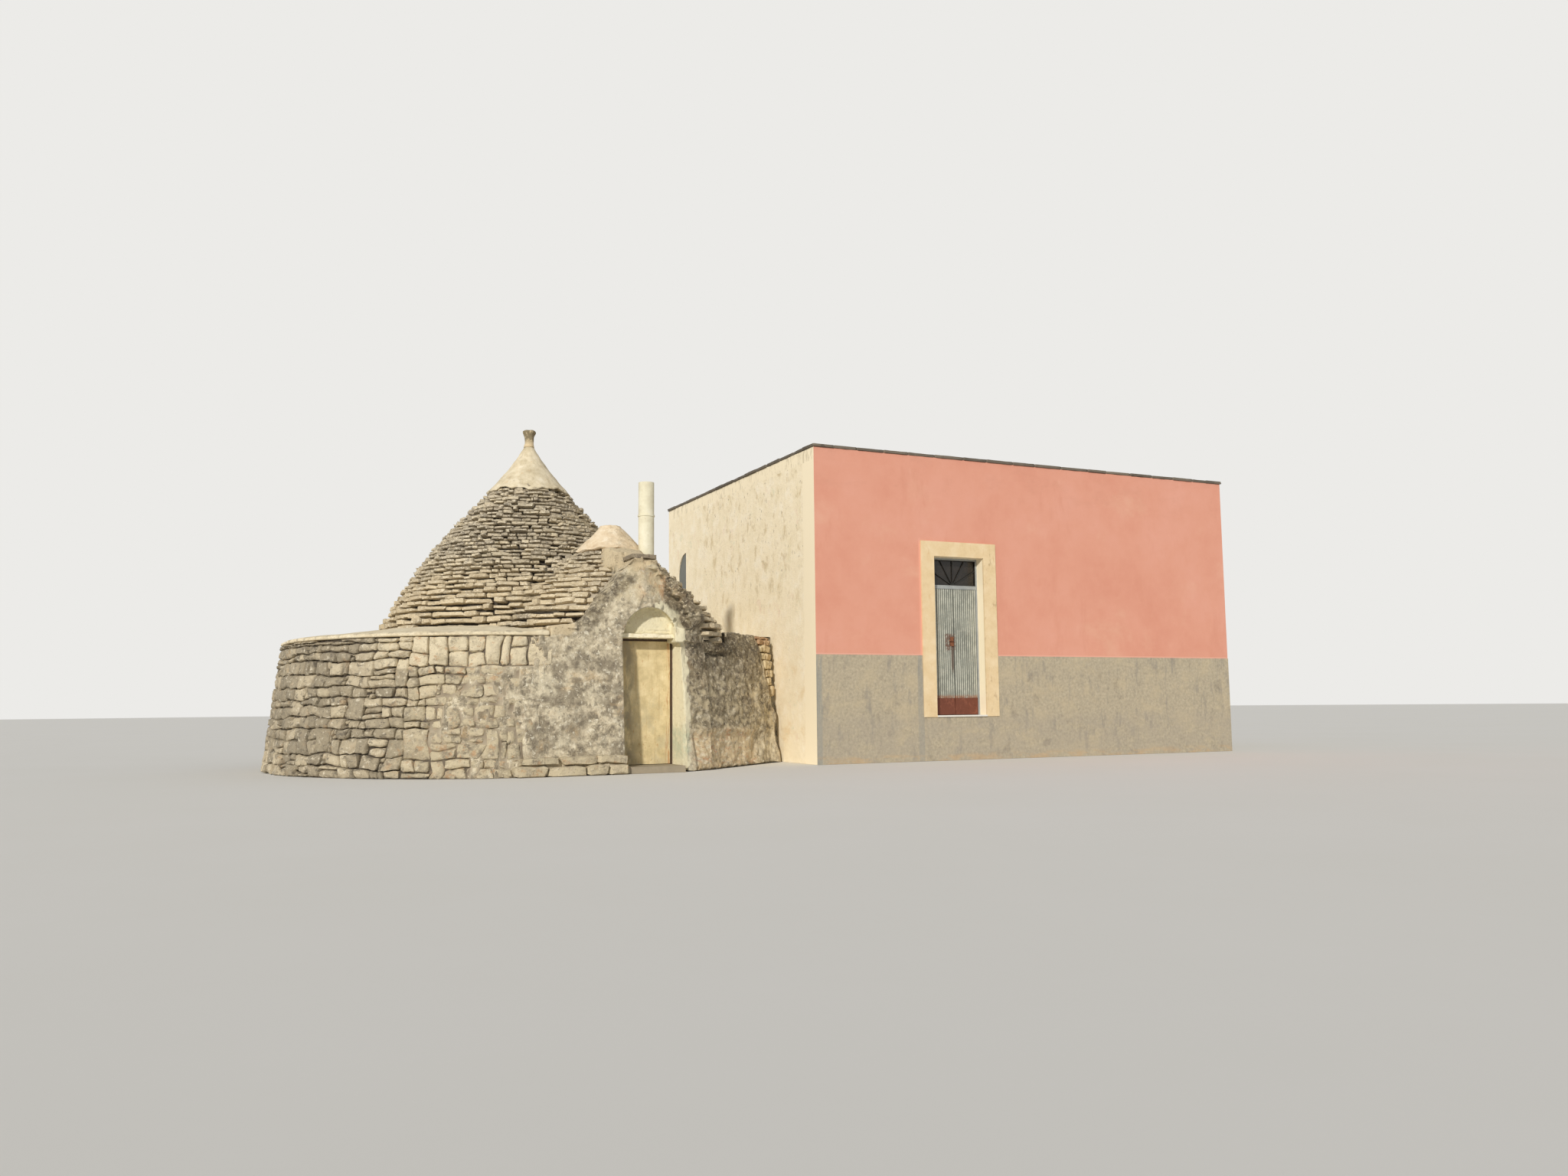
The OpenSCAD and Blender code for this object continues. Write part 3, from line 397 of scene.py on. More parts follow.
# Cream render on the block's side walls, with brown runs under the roof and grey spots
CREAM = ["#F4E5C4", "#FBEDCE", "#FFF4DC"]
cream_render = weathered("cream_render", CREAM, 260, [
    ("#E6D5AC", (240, 700), 0.52, 0.68, 0.5, (UP, 1.6, 3.4)),
    ("#C2A978", (190, 300), 0.52, 0.66, 0.55, (UP, 2.3, 3.6), (FRONT, -1.9, -1.1)),
    ("#8B7B5D", (64, 110), 0.6, 0.67, 0.75, (UP, 2.5, 3.9), (FRONT, -2.1, -1.3)),
    ("#9C9074", (34, 50), 0.62, 0.68, 0.6, (UP, 0.8, 2.4)),
    ("#E3C592", (900, 500), 0.45, 0.65, 0.6, (DOWN, -2.2, -0.4)),
    ("#E3BDA4", (300, 500), 0.58, 0.7, 0.3),
    ("#C3CAAC", (350, 300), 0.6, 0.7, 0.3),
], [(90, 10), (25, 6), (7, 3)])

# Smooth paint that has faded in broad soft patches, with a lighter line cut in round the surround and over the dado.
# Where a wall or the roof's slab turns away from the front, the paint is cream.
SALMON_LINES = [
    ("#E4AC98", 40, 0.0, 0.01, 0.7, (UP, DADO_TOP, DADO_TOP + 0.002),
     (DOWN, -DADO_TOP - 0.024, -DADO_TOP - 0.018)),
    ("#E2A591", 40, 0.0, 0.01, 0.6, (RIGHT, SURROUND_X0 - 0.034, SURROUND_X0 - 0.03),
     (LEFT, -SURROUND_X0 - 0.002, -SURROUND_X0), (DOWN, -SURROUND_TOP - 0.04, -SURROUND_TOP - 0.035)),
]
BEHIND_FRONT = (BACK, BLOCK_FRONT + 0.0002, BLOCK_FRONT + 0.0006)
CREAM_SIDES = ("#FBEDCE", 260, 0.0, 0.01, 1.0, BEHIND_FRONT)
SALMON_TOP = ("#C58A73", (600, 300), 0.5, 0.66, 0.22, (UP, 4.2, 4.7))
SALMON = ["#D3917A", "#D89982", "#DB9E89"]
salmon_paint = weathered("salmon_paint", SALMON, 900, [
    ("#DFB095", (1500, 1300), 0.54, 0.7, 0.35),
    ("#CB876F", (700, 2200), 0.54, 0.68, 0.35),
    ("#C98B74", (30, 500), 0.62, 0.72, 0.3),
    SALMON_TOP,
] + SALMON_LINES + [CREAM_SIDES], [(14, 0.6)], roughness=0.8)

# The roof's slab carries the walls' paint on its edges and bare screed on top
roof_screed = weathered("roof_screed", SALMON, 900, [
    SALMON_TOP, CREAM_SIDES,
    ("#B7A98C", (60, 200), 0.5, 0.64, 0.6, BEHIND_FRONT),
    ("#A39B8B", 500, 0.0, 0.01, 1.0, (UP, ROOF_TOP - 0.0006, ROOF_TOP - 0.0002)),
], [(40, 3)])

# Grey render floated by hand: coarse, darker at the block's corner and beside the surround, earthy at its foot
floated_render = weathered("grey_floated_render", ["#9A907C", "#A99E88", "#B4A890", "#BFB49B"], 45, [
    ("#87827A", (140, 600), 0.52, 0.66, 0.55),
    ("#C2B292", (500, 400), 0.47, 0.63, 0.4),
    ("#7F7668", (300, 350), 0.55, 0.68, 0.5),
    ("#8A8F8C", (70, 900), 0.3, 0.5, 0.55, (LEFT, -BLOCK_X - 0.1, -BLOCK_X - 0.06)),
    ("#8A8C88", (70, 900), 0.3, 0.5, 0.45, (RIGHT, SURROUND_X0 - 0.11, SURROUND_X0 - 0.07),
     (LEFT, -SURROUND_X0 - 0.01, -SURROUND_X0)),
    ("#A1988A", (400, 200), 0.35, 0.55, 0.35, (DOWN, -0.75, -0.5)),
    ("#C6A274", (400, 120), 0.45, 0.6, 0.4, (DOWN, -0.12, -0.02)),
], [(60, 5), (14, 3), (5, 1.2)], spread=0.2)

# Sawn soft stone round the door, browner on its right edge
surround_stone = weathered("sawn_ochre_stone", ["#D6BC90", "#E0C89E", "#E8D4B0"], 220, [
    ("#C89E66", (120, 350), 0.58, 0.72, 0.5),
    ("#8E6F48", (90, 220), 0.56, 0.68, 0.5, (RIGHT, 6.85, 6.95)),
], [(20, 1.2)], roughness=0.75)
white_stone = weathered("white_stone", ["#D8D4CA", "#E9E6DE"], 90, (), [(15, 1)], roughness=0.6)

# Galvanised sheet: dull spangle, painted shade in the grooves between the ribs, rust round the lock and on the kick
# plate
KICK_PLATE = (DOWN, -1.006, -1.003)
galvanised = weathered("galvanised_sheet", ["#A6A99E", "#B9BBAE", "#C9CABC", "#D6D6C8"], 90, [
    ("#8A8D84", (200, 300), 0.5, 0.64, 0.5),
    ("#E2E2D4", (30, 200), 0.56, 0.66, 0.6),
    # Painted shade: the grooves behind the ribs' fronts are darkened
    ("#5F6059", 300, 0.0, 0.01, 0.8, (BACK, RIBS_Y + 0.004, RIBS_Y + 0.009),
     (FRONT, -RIBS_Y - 0.03, -RIBS_Y - 0.025)),
    ("#6E4A32", (30, 220), 0.62, 0.7, 0.5),
    ("#6B4433", (26, 30), 0.42, 0.54, 0.85, (RIGHT, LOCK[0].x - 0.07, LOCK[0].x - 0.02),
     (LEFT, -LOCK[1].x - 0.05, -LOCK[1].x), (DOWN, -LOCK[1].z - 0.06, -LOCK[1].z - 0.02),
     (UP, LOCK[0].z - 0.08, LOCK[0].z - 0.03)),
    ("#5A463A", (24, 300), 0.3, 0.5, 0.8, (RIGHT, LOCK[1].x - 0.05, LOCK[1].x - 0.03),
     (LEFT, -LOCK[1].x - 0.02, -LOCK[1].x), (DOWN, -LOCK[0].z - 0.02, -LOCK[0].z + 0.02),
     (UP, LOCK[0].z - 0.45, LOCK[0].z - 0.3)),
    ("#9A6240", (40, 50), 0.4, 0.52, 0.7, (DOWN, -1.06, -1.01)),
    ("#713F2D", 300, 0.0, 0.01, 1.0, KICK_PLATE),
    ("#8F5540", (60, 120), 0.5, 0.62, 0.6, KICK_PLATE),
    ("#5A2F22", (50, 60), 0.54, 0.64, 0.6, KICK_PLATE),
], [(50, 1)], roughness=0.55, metallic=0.2)

# Small fittings
rusty_iron = weathered("rusty_iron", ["#4A2E20", "#7A4A30", "#95603C"], 30, (), [(8, 1)], roughness=0.8)
black_iron = weathered("black_iron", ["#1A1A1B", "#26241F"], 60, (), (), roughness=0.5)
frame_grey = weathered("frame_grey_paint", ["#8C9090", "#A4A8A6"], 90, [
    ("#6B4A34", (60, 200), 0.62, 0.72, 0.5),
], (), roughness=0.5)
# Transom glass painted near black as the shade of the room behind it
dusty_glass_painted_shade = weathered("dusty_glass_painted_shade", ["#17140F", "#241F1A", "#2E2822"], 120, (), (), roughness=0.25)
shutter_paint = weathered("shutter_paint", ["#666862", "#757670"], 150, (), [(20, 0.6)], roughness=0.6)
roof_edge_stone = weathered("roof_edge_stone", ["#4A443B", "#6A6155", "#857A69"], 120, (), [(30, 4)], tint=0.5)

# Beige paint on the trullo's door: greyer low down, darker on the left edge as painted shade of the jamb's shadow,
# rust specks, a run down the right edge
beige_paint = weathered("beige_door_paint", ["#BAA77D", "#CDBA8C", "#DDCA9C", "#E9D9B0"], 200, [
    ("#B3A98A", (300, 400), 0.46, 0.62, 0.5, (DOWN, -1.3, -0.7)),
    # Painted shade: the jamb's shadow on the door's left edge
    ("#857B67", (160, 400), 0.38, 0.56, 0.75, (LEFT, -0.84, -0.66)),
    ("#B5824C", (26, 100), 0.6, 0.66, 0.7),
    ("#B0703A", (22, 300), 0.48, 0.6, 0.65, (RIGHT, 1.27, 1.32)),
    ("#A0744A", (50, 60), 0.58, 0.65, 0.7, (DOWN, -0.6, -0.3)),
    ("#B79A68", (40, 900), 0.52, 0.66, 0.5),
], [(60, 1.5), (12, 0.6)], roughness=0.6)
dark_timber = weathered("dark_timber", ["#3A2A1E", "#513B29"], 90, (), [(8, 1)], roughness=0.7)


def dress(piece, material):
    piece.data.materials.clear()
    piece.data.materials.append(material)


# Every node of the CAD model with its finish; pieces made below stand in for some of them
FINISHES = [
    (floor_flags, ["trullo_floor", "threshold", "block_floor"]),
    (rubble_stone, ["drum_right", "drum_back_right", "drum_back_left", "drum_left", "drum_front_left",
                    "footing_stones"]),
    (old_plaster, ["facade_left_pier", "facade_right_pier", "right_wing", "gable"]),
    (ledge_plaster, ["drum_ledge"]),
    (dome_stone, ["dome_lower", "dome_upper", "small_dome"]),
    (slate_stone, ["main_slates", "small_slates"]),
    (cap_plaster, ["cone_cap", "door_lintel"]),
    (pinnacle_stone, ["pinnacle"]),
    (small_cap_plaster, ["small_cap"]),
    (pipe_cement, ["chimney"]),
    (slab_stone, ["gable_capstone"]),
    (dark_timber, ["trullo_door_frame"]),
    (beige_paint, ["trullo_door"]),
    (cream_render, ["left_wall", "back_wall", "right_wall"]),
    (salmon_paint, ["front_wall_left", "front_wall_right", "front_wall_head"]),
    (floated_render, ["front_wall_foot", "front_dado"]),
    (roof_screed, ["roof_slab"]),
    (roof_edge_stone, ["roof_edge"]),
    (surround_stone, ["surround_left", "surround_right", "surround_head"]),
    (white_stone, ["door_sill"]),
    (frame_grey, ["block_door_frame"]),
    (dusty_glass_painted_shade, ["transom_glass"]),
    (black_iron, ["transom_grille"]),
    (galvanised, ["left_leaf", "right_leaf"]),
    (rusty_iron, ["door_lock"]),
    (shutter_paint, ["side_window_shutter"]),
]
for finish, names in FINISHES:
    for name in names:
        dress(nodes[name], finish)


# Studio: camera, soft light, pale floor

def camera_axes(yaw, pitch, roll):
    forward = Vector((math.sin(yaw) * math.cos(pitch), math.cos(yaw) * math.cos(pitch), math.sin(pitch)))
    level = Vector((math.cos(yaw), -math.sin(yaw), 0.0))
    upright = level.cross(forward)
    across = level * math.cos(roll) + upright * math.sin(roll)
    return across, upright * math.cos(roll) - level * math.sin(roll), -forward


def make_camera():
    data = bpy.data.cameras.new("camera")
    data.lens, data.sensor_width = LENS, SENSOR
    data.clip_end = 500
    seen_from = bpy.data.objects.new("camera", data)
    bpy.context.scene.collection.objects.link(seen_from)
    turn = Matrix(camera_axes(CAMERA_YAW, CAMERA_PITCH, CAMERA_ROLL)).transposed()
    seen_from.matrix_world = Matrix.Translation(CAMERA_AT) @ turn.to_4x4()
    bpy.context.scene.camera = seen_from


def make_light():
    lamp = bpy.data.lights.new("soft_sun", "SUN")
    lamp.energy, lamp.angle = 2.8, math.radians(3)
    lamp.color = (1.0, 0.96, 0.9)
    sun = bpy.data.objects.new("soft_sun", lamp)
    azimuth, height = math.radians(-41), math.radians(23)
    aim = Vector((-math.sin(azimuth) * math.cos(height), math.cos(azimuth) * math.cos(height), -math.sin(height)))
    sun.rotation_euler = aim.to_track_quat("-Z", "Y").to_euler()
    bpy.context.scene.collection.objects.link(sun)
    world = bpy.data.worlds.new("studio")
    bpy.context.scene.world = world
    world.use_nodes = True
    tree = world.node_tree
    tree.nodes.clear()
    paths = add(tree, "ShaderNodeLightPath")
    seen = add(tree, "ShaderNodeMath", {0: paths.outputs["Is Camera Ray"], 1: paths.outputs["Is Glossy Ray"]},
               operation="MAXIMUM")
    seen = add(tree, "ShaderNodeMath", {0: seen.outputs[0], 1: paths.outputs["Is Transmission Ray"]},
               operation="MAXIMUM")
    fill = add(tree, "ShaderNodeBackground", {"Color": srgb("#EEF1F5"), "Strength": 0.46})
    shown = add(tree, "ShaderNodeBackground", {"Color": srgb("#ECEBE8"), "Strength": 1.0})
    mixed = add(tree, "ShaderNodeMixShader", {0: seen.outputs[0], 1: fill.outputs[0], 2: shown.outputs[0]})
    add(tree, "ShaderNodeOutputWorld", {"Surface": mixed.outputs[0]})


def make_floor():
    deselect()
    bpy.ops.mesh.primitive_plane_add(size=400, location=(0, 0, -0.002))
    floor = bpy.context.object
    floor.name = "studio_floor"
    dress(floor, weathered("floor_paint", ["#D9D7D1", "#DBD9D4"], 3000, roughness=1.0))


# Loose stones: a few rough blocks made once, then copied by the hundred

def rough_block(seed, cuts, cut, rough):
    """A unit block with worn edges: long edges cut, sharp edges bevelled, corners pushed about."""
    deselect()
    bpy.ops.mesh.primitive_cube_add(size=1)
    block = bpy.context.object
    bpy.ops.object.mode_set(mode="EDIT")
    bpy.ops.mesh.select_mode(type="EDGE")
    bpy.ops.mesh.select_all(action="DESELECT")
    shape = bmesh.from_edit_mesh(block.data)
    for edge in shape.edges:
        edge.select = abs((edge.verts[0].co - edge.verts[1].co).x) > 0.5
    bmesh.update_edit_mesh(block.data)
    bpy.ops.mesh.subdivide(number_cuts=cuts)
    bpy.ops.mesh.select_all(action="DESELECT")
    shape = bmesh.from_edit_mesh(block.data)
    for edge in shape.edges:
        edge.select = edge.calc_face_angle(0) > 1
    bmesh.update_edit_mesh(block.data)
    bpy.ops.mesh.bevel(offset=cut, segments=1, affect="EDGES")
    bpy.ops.mesh.select_all(action="SELECT")
    bpy.ops.transform.vertex_random(offset=rough, seed=seed)
    bpy.ops.object.mode_set(mode="OBJECT")
    verts = np.array([v.co for v in block.data.vertices])
    faces = [tuple(f.vertices) for f in block.data.polygons]
    bpy.data.objects.remove(block)
    return verts, faces


def frame_of(across, outward, lean=0.0, turn=0.0):
    """Axes of a stone: along the wall, out of the wall, up; leaned about the first and turned about the second."""
    across, outward = Vector(across), Vector(outward)
    axes = Matrix((across, outward, across.cross(outward))).transposed()
    return np.array(axes @ Matrix.Rotation(lean, 3, "X") @ Matrix.Rotation(turn, 3, "Y"))


class Heap:
    """Stones gathered into one mesh, each with a tint of its own."""

    def __init__(self):
        self.verts, self.faces, self.tints, self.count = [], [], [], 0

    def put(self, verts, faces, tint):
        self.verts.append(verts)
        self.faces.extend([tuple(i + self.count for i in face) for face in faces])
        self.tints.append(np.full(len(verts), tint))
        self.count += len(verts)

    def stone(self, block, size, axes, at, tint):
        verts, faces = block
        self.put((verts * size) @ axes.T + np.array(at), faces, tint)

    def piece(self, name, materials, crease=40):
        made = new_mesh_piece(name, np.concatenate(self.verts), self.faces)
        write_values(made, "tint", np.concatenate(self.tints))
        for material in materials:
            made.data.materials.append(material)
        pick(made)
        bpy.ops.object.shade_smooth_by_angle(angle=math.radians(crease))
        return made


def add_tint(piece, value=0.5):
    """Give a piece one tint all over, so that a material that reads it works there too."""
    write_values(piece, "tint", np.full(len(piece.data.vertices), value))


def own_tint(rng, middle, spread):
    """A stone's own tint, from 0 to 1, spread round a middle one."""
    return min(1, max(0, rng.gauss(middle, spread)))


def join(name, pieces):
    deselect()
    for piece in pieces:
        piece.select_set(True)
    bpy.context.view_layer.objects.active = pieces[0]
    bpy.ops.object.join()
    pieces[0].name = name
    return pieces[0]


def copy_of(node, name):
    """A copy of a CAD node's mesh with its loose triangles merged."""
    made = bpy.data.objects.new(name, nodes[node].data.copy())
    bpy.context.scene.collection.objects.link(made)
    made.data.materials.clear()
    edit_all(made, (bpy.ops.mesh.remove_doubles, {"threshold": 0.0001}))
    return made


def soft_noise(x, y, seed):
    """Smooth noise from -1 to 1, of about one bump per unit."""
    total = 0.0
    for i in range(4):
        a = seed * 1.7 + i * 2.399
        total = total + np.sin(x * 3.1 * math.cos(a) + y * 3.1 * math.sin(a) + seed * 5.3 + i * 1.9)
    return total / 2.6


# Slates: courses laid along the outline that both cones make together, the lowest ones thickest

# Width of the valley between the cones that is filled, and the distance between the points of a course, in metres
VALLEY, PATH_STEP = 0.5, 0.03
# Tables of (height, place across): where the front's plaster begins, from the foot of the slates up to the small cap,
# and the gable's right slope
PLASTER_EDGE = [(2.11, -0.08), (2.27, -0.01), (2.45, 0.16), (2.64, 0.43), (2.84, 0.52), (3.05, 0.56), (3.3, 0.6)]
GABLE_RIGHT = [(2.11, 1.8), (2.6, 1.45), (3.0, 1.1), (3.3, 0.95)]
# Courses and slates at the foot of the cones, in metres
COURSE_HEIGHT, SLATE_LENGTH = 0.104, 0.27
# The courses start this far under the wall's top, so that none ends in the air over the ledge
BEDDED = 0.045
# The front's plaster covers the slates before this y, and the core behind them, painted dark as shade, fills between
# two depths
GABLE_BACK, CORE_DEPTHS = -2.6, (0.16, 0.2)


def cone_distance(x, y, z):
    """Distance outside the two cones at one height, with the valley between them filled a little."""
    outer = math.hypot(x, y) - main_r(z)
    if z > SMALL_TOP:
        return outer
    small = math.hypot(x - SMALL_AXIS.x, y - SMALL_AXIS.y) - small_r(z)
    blend = max(0.0, 1 - abs(outer - small) / VALLEY)
    return min(outer, small) - blend * blend * VALLEY * 0.25


def gradient(x, y, z):
    """The way out of the two cones at one point."""
    step = 0.002
    gx = cone_distance(x + step, y, z) - cone_distance(x - step, y, z)
    gy = cone_distance(x, y + step, z) - cone_distance(x, y - step, z)
    length = math.hypot(gx, gy) or 1.0
    return gx / length, gy / length


def outline(z, most=2000):
    """Points along the joint outline at one height, counter-clockwise, each with its outward direction."""
    x, y = 0.0, main_r(z)
    points = []
    for i in range(most):
        gx, gy = gradient(x, y, z)
        points.append((x, y, gx, gy))
        x, y = x - gy * PATH_STEP, y + gx * PATH_STEP
        for _ in range(2):
            gx, gy = gradient(x, y, z)
            d = cone_distance(x, y, z)
            x, y = x - gx * d, y - gy * d
        if i > 20 and math.hypot(x, y - main_r(z)) < PATH_STEP:
            break
    return points


def along(table, z):
    """The value that a table of (height, value) has at one height."""
    for (z0, v0), (z1, v1) in zip(table, table[1:]):
        if z <= z1:
            return v0 + (v1 - v0) * (z - z0) / (z1 - z0)
    return table[-1][1]


def ledge_z(reach):
    """Top of the sloping ledge."""
    return LEDGE_TOP_Z - (LEDGE_TOP_Z - WALL_TOP - 0.05) * (reach - PLINTH_R) / (DRUM_TOP_R - PLINTH_R)


def lay_slates():
    """Lay every course round both cones; a slate goes to the heap of the cone it lies on."""
    rng = random.Random(7)
    blocks = [rough_block(seed, 2, 0.11, 0.12) for seed in range(20)]
    main, small = Heap(), Heap()
    z = WALL_TOP - BEDDED
    while z < SLATES_TOP - 0.02:
        share = max(0.0, (z - LEDGE_TOP_Z) / (SLATES_TOP - LEDGE_TOP_Z))
        height = COURSE_HEIGHT - 0.03 * min(1.0, share / 0.35) - 0.012 * share
        length = SLATE_LENGTH - 0.115 * min(1.0, share / 0.45)
        path = outline(min(max(z + height / 2, LEDGE_TOP_Z), SLATES_TOP - 0.01))
        s = rng.uniform(0, len(path) * PATH_STEP)
        end = s + len(path) * PATH_STEP
        while s < end - 0.02:
            long = min(end - s, length * rng.choice((0.45, 0.7, 0.9, 1.1, 1.6)) * rng.uniform(0.85, 1.15))
            x, y, gx, gy = path[int((s + long / 2) / PATH_STEP) % len(path)]
            s += long + rng.choice((0.002, 0.004, 0.008, 0.022))
            under_ledge = z + height < ledge_z(math.hypot(x, y)) - 0.03
            in_gable = along(PLASTER_EDGE, z) + 0.05 < x < along(GABLE_RIGHT, z) and y < GABLE_BACK and z < SMALL_TOP
            if under_ledge or in_gable:
                continue
            deep = rng.uniform(0.18, 0.23)
            tall = height * rng.choice((0.46, 0.56, 0.66, 0.74, 0.84)) * rng.uniform(0.95, 1.05)
            out = -rng.choice((0.0, 0.006, 0.016, 0.03, 0.055)) - rng.uniform(0, 0.008)
            wave = 0.014 * soft_noise(math.atan2(y, x) * 2.2, z * 1.2, 3)
            level = z + tall / 2 + wave + rng.uniform(0, 0.3) * (height - tall)
            at = (x + gx * (out - deep / 2), y + gy * (out - deep / 2), level)
            axes = frame_of((-gy, gx, 0), (gx, gy, 0), rng.gauss(-0.1, 0.07), rng.gauss(0, 0.035))
            pile = small if z < SMALL_TOP and math.hypot(x, y) > main_r(z) + 0.04 else main
            pile.stone(rng.choice(blocks), (long, deep, tall), axes, at, own_tint(rng, 0.5, 0.32))
        z += height
    return main, small


def turned(name, section, steps=96):
    """A closed ring turned from a section of (radius, height) points, listed counter-clockwise."""
    count = len(section)
    verts, faces = [], []
    for i in range(steps):
        c, s = math.cos(TAU * i / steps), math.sin(TAU * i / steps)
        verts += [(r * c, r * s, h) for r, h in section]
        for j in range(count):
            a, b = i * count + j, i * count + (j + 1) % count
            c2, d = (i + 1) % steps * count + (j + 1) % count, (i + 1) % steps * count + j
            faces.append((a, d, c2, b))
    return new_mesh_piece(name, verts, faces)


def cone_core(name, radius, top):
    """A shell behind the slates, painted dark as shade, which closes their joints."""
    levels = [LEDGE_TOP_Z + (top - LEDGE_TOP_Z) * i / 12 for i in range(13)]
    outer, inner = CORE_DEPTHS
    section = [(radius(h) - outer, h) for h in levels] + [(radius(h) - inner, h) for h in reversed(levels)]
    made = turned(name, section)
    dress(made, joint_painted_shade)
    add_tint(made, 0.2)
    return made


def shift(piece, dx, dy):
    """Move a piece's points, not its origin."""
    for vert in piece.data.vertices:
        vert.co.x += dx
        vert.co.y += dy


def outside_main(piece):
    """Push what would stand in the round room out to the main cone's shell."""
    for vert in piece.data.vertices:
        reach = math.hypot(vert.co.x, vert.co.y)
        least = main_r(vert.co.z) - 0.18
        if reach < least:
            vert.co.x *= least / reach
            vert.co.y *= least / reach


# The small core stays behind the plaster of the front
CORE_FRONT = -3.3
main_pile, small_pile = lay_slates()
main_roof = join("slate_courses", [main_pile.piece("slate_courses", [slate_stone]),
                                   cone_core("slate_core", main_r, SLATES_TOP)])
small_core = cone_core("small_slate_core", small_r, SMALL_TOP)
shift(small_core, SMALL_AXIS.x, SMALL_AXIS.y)
outside_main(small_core)
for vert in small_core.data.vertices:
    vert.co.y = max(vert.co.y, CORE_FRONT)
small_roof = join("small_slate_courses", [small_pile.piece("small_slate_courses", [slate_stone]), small_core])
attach(main_roof, "house")
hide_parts("main_slates")
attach(small_roof, "house")
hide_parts("small_slates")


# Rubble: stone outlines fitted to each other like cells, each with a worn, crowned and slightly tilted face

def clip(polygon, nx, ny, limit):
    """Keep the part of a polygon where n . p <= limit."""
    kept = []
    for (x0, y0), (x1, y1) in zip(polygon, polygon[1:] + polygon[:1]):
        d0, d1 = nx * x0 + ny * y0 - limit, nx * x1 + ny * y1 - limit
        if d0 <= 0:
            kept.append((x0, y0))
        if (d0 < 0 < d1) or (d1 < 0 < d0):
            t = d0 / (d0 - d1)
            kept.append((x0 + (x1 - x0) * t, y0 + (y1 - y0) * t))
    return kept


def middle_of(cell):
    """The mean of an outline's corners."""
    return sum(p[0] for p in cell) / len(cell), sum(p[1] for p in cell) / len(cell)


def coursed_cells(rng, u0, u1, z0, z1, tall, wide):
    """Roughly coursed stones with wavy beds: some two courses high, some split level, some with a small filler."""
    levels = [z0]
    while levels[-1] < z1 - 1.4 * tall[1]:
        levels.append(levels[-1] + rng.uniform(*tall))
    levels += [(levels[-1] + z1) / 2 + rng.uniform(-0.02, 0.02), z1]
    last = len(levels) - 1

    def bed(k, u):
        if k in (0, last):
            return levels[k]
        return levels[k] + 0.026 * soft_noise(u * 0.8, k * 2.3, 6) + 0.014 * soft_noise(u * 3.4, k * 1.7, 7)

    cells = []
    taken = [[] for _ in levels]
    for k in range(last):
        u, lean = u0, 0.0
        while u < u1 - 0.02:
            if taken[k] and taken[k][0][0] - u < 0.001:
                u, lean = taken[k].pop(0)[1], 0.0
                continue
            stop = taken[k][0][0] if taken[k] else u1
            right = u + rng.uniform(*wide)
            if stop - right < 0.7 * wide[0]:
                right = stop
            next_lean = 0.0 if right == stop else rng.uniform(-0.05, 0.05)
            high = k + 2 if k + 2 < last and rng.random() < 0.15 and 0.17 < right - u < 0.4 else k + 1
            middle = (u + right) / 2
            cell = [(u, bed(k, u)), (middle, bed(k, middle)), (right, bed(k, right)),
                    (right + next_lean, bed(k + 1, right)), (middle, bed(high, middle)), (u + lean, bed(k + 1, u))]
            if high > k + 1:
                cell[4:4] = [(right, bed(high, right))]
                cell[6:6] = [(u, bed(high, u))]
                taken[k + 1].append((u, right))
            cells += split_stone(rng, cell, right - u, bed(high, middle) - bed(k, middle))
            u, lean = right, next_lean
    return cells


def split_stone(rng, cell, width, height):
    """Now and then two thin stones or a stone and its filler stand for one."""
    uc, zc = middle_of(cell)
    chance = rng.random()
    if height > 0.16 and width > 0.2 and chance < 0.3:
        slope, zs = rng.uniform(-0.12, 0.12), zc + rng.uniform(-0.2, 0.2) * height
        return [clip(cell, slope, 1, slope * uc + zs), clip(cell, -slope, -1, -slope * uc - zs)]
    if width > 0.28 and chance < 0.5:
        lean, us = rng.uniform(-0.2, 0.2), uc + rng.choice((-1, 1)) * (width / 2 - rng.uniform(0.07, 0.1))
        left, right = clip(cell, 1, lean, us + lean * zc), clip(cell, -1, -lean, -us - lean * zc)
        small, big = (left, right) if us < uc else (right, left)
        if height < 0.13:
            return [small, big]
        zs = zc + rng.uniform(-0.15, 0.15) * height
        return [clip(small, 0, 1, zs), clip(small, 0, -1, -zs), big]
    return [cell]


def worn_outline(rng, cell):
    """Cut the corners of an outline and make its long edges uneven."""
    worn = []
    for (x0, y0), (x1, y1) in zip(cell, cell[1:] + cell[:1]):
        length = math.hypot(x1 - x0, y1 - y0)
        if length < 0.012:
            continue
        cut = min(0.38, rng.choice((0.006, 0.012, 0.02, 0.036)) / length)
        between = () if length < 0.09 else (0.5,) if length < 0.22 else (0.36, 0.64)
        for t in (cut, *between, 1 - cut):
            off = rng.uniform(-0.007, 0.003) if cut < t < 1 - cut else 0.0
            worn.append(warped(x0 + (x1 - x0) * t - (y1 - y0) / length * off,
                               y0 + (y1 - y0) * t + (x1 - x0) / length * off))
    return worn


def warped(u, z):
    """Bend the net of joints, so that no bed or joint runs straight."""
    calm = smooth(0.0, 0.12, z) * smooth(WALL_TOP, WALL_TOP - 0.1, z)
    return (u + 0.02 * soft_noise(u * 2.6, z * 3.1, 31) + 0.012 * soft_noise(u * 7.0, z * 6.0, 32),
            z + calm * (0.016 * soft_noise(u * 3.0, z * 2.4, 33) + 0.011 * soft_noise(u * 6.5, z * 7.5, 34)))


# Height at which the big pale blocks under the ledge start, and at which the stones end
BLOCK_COURSE, STONES_TOP = 1.47, WALL_TOP - 0.004
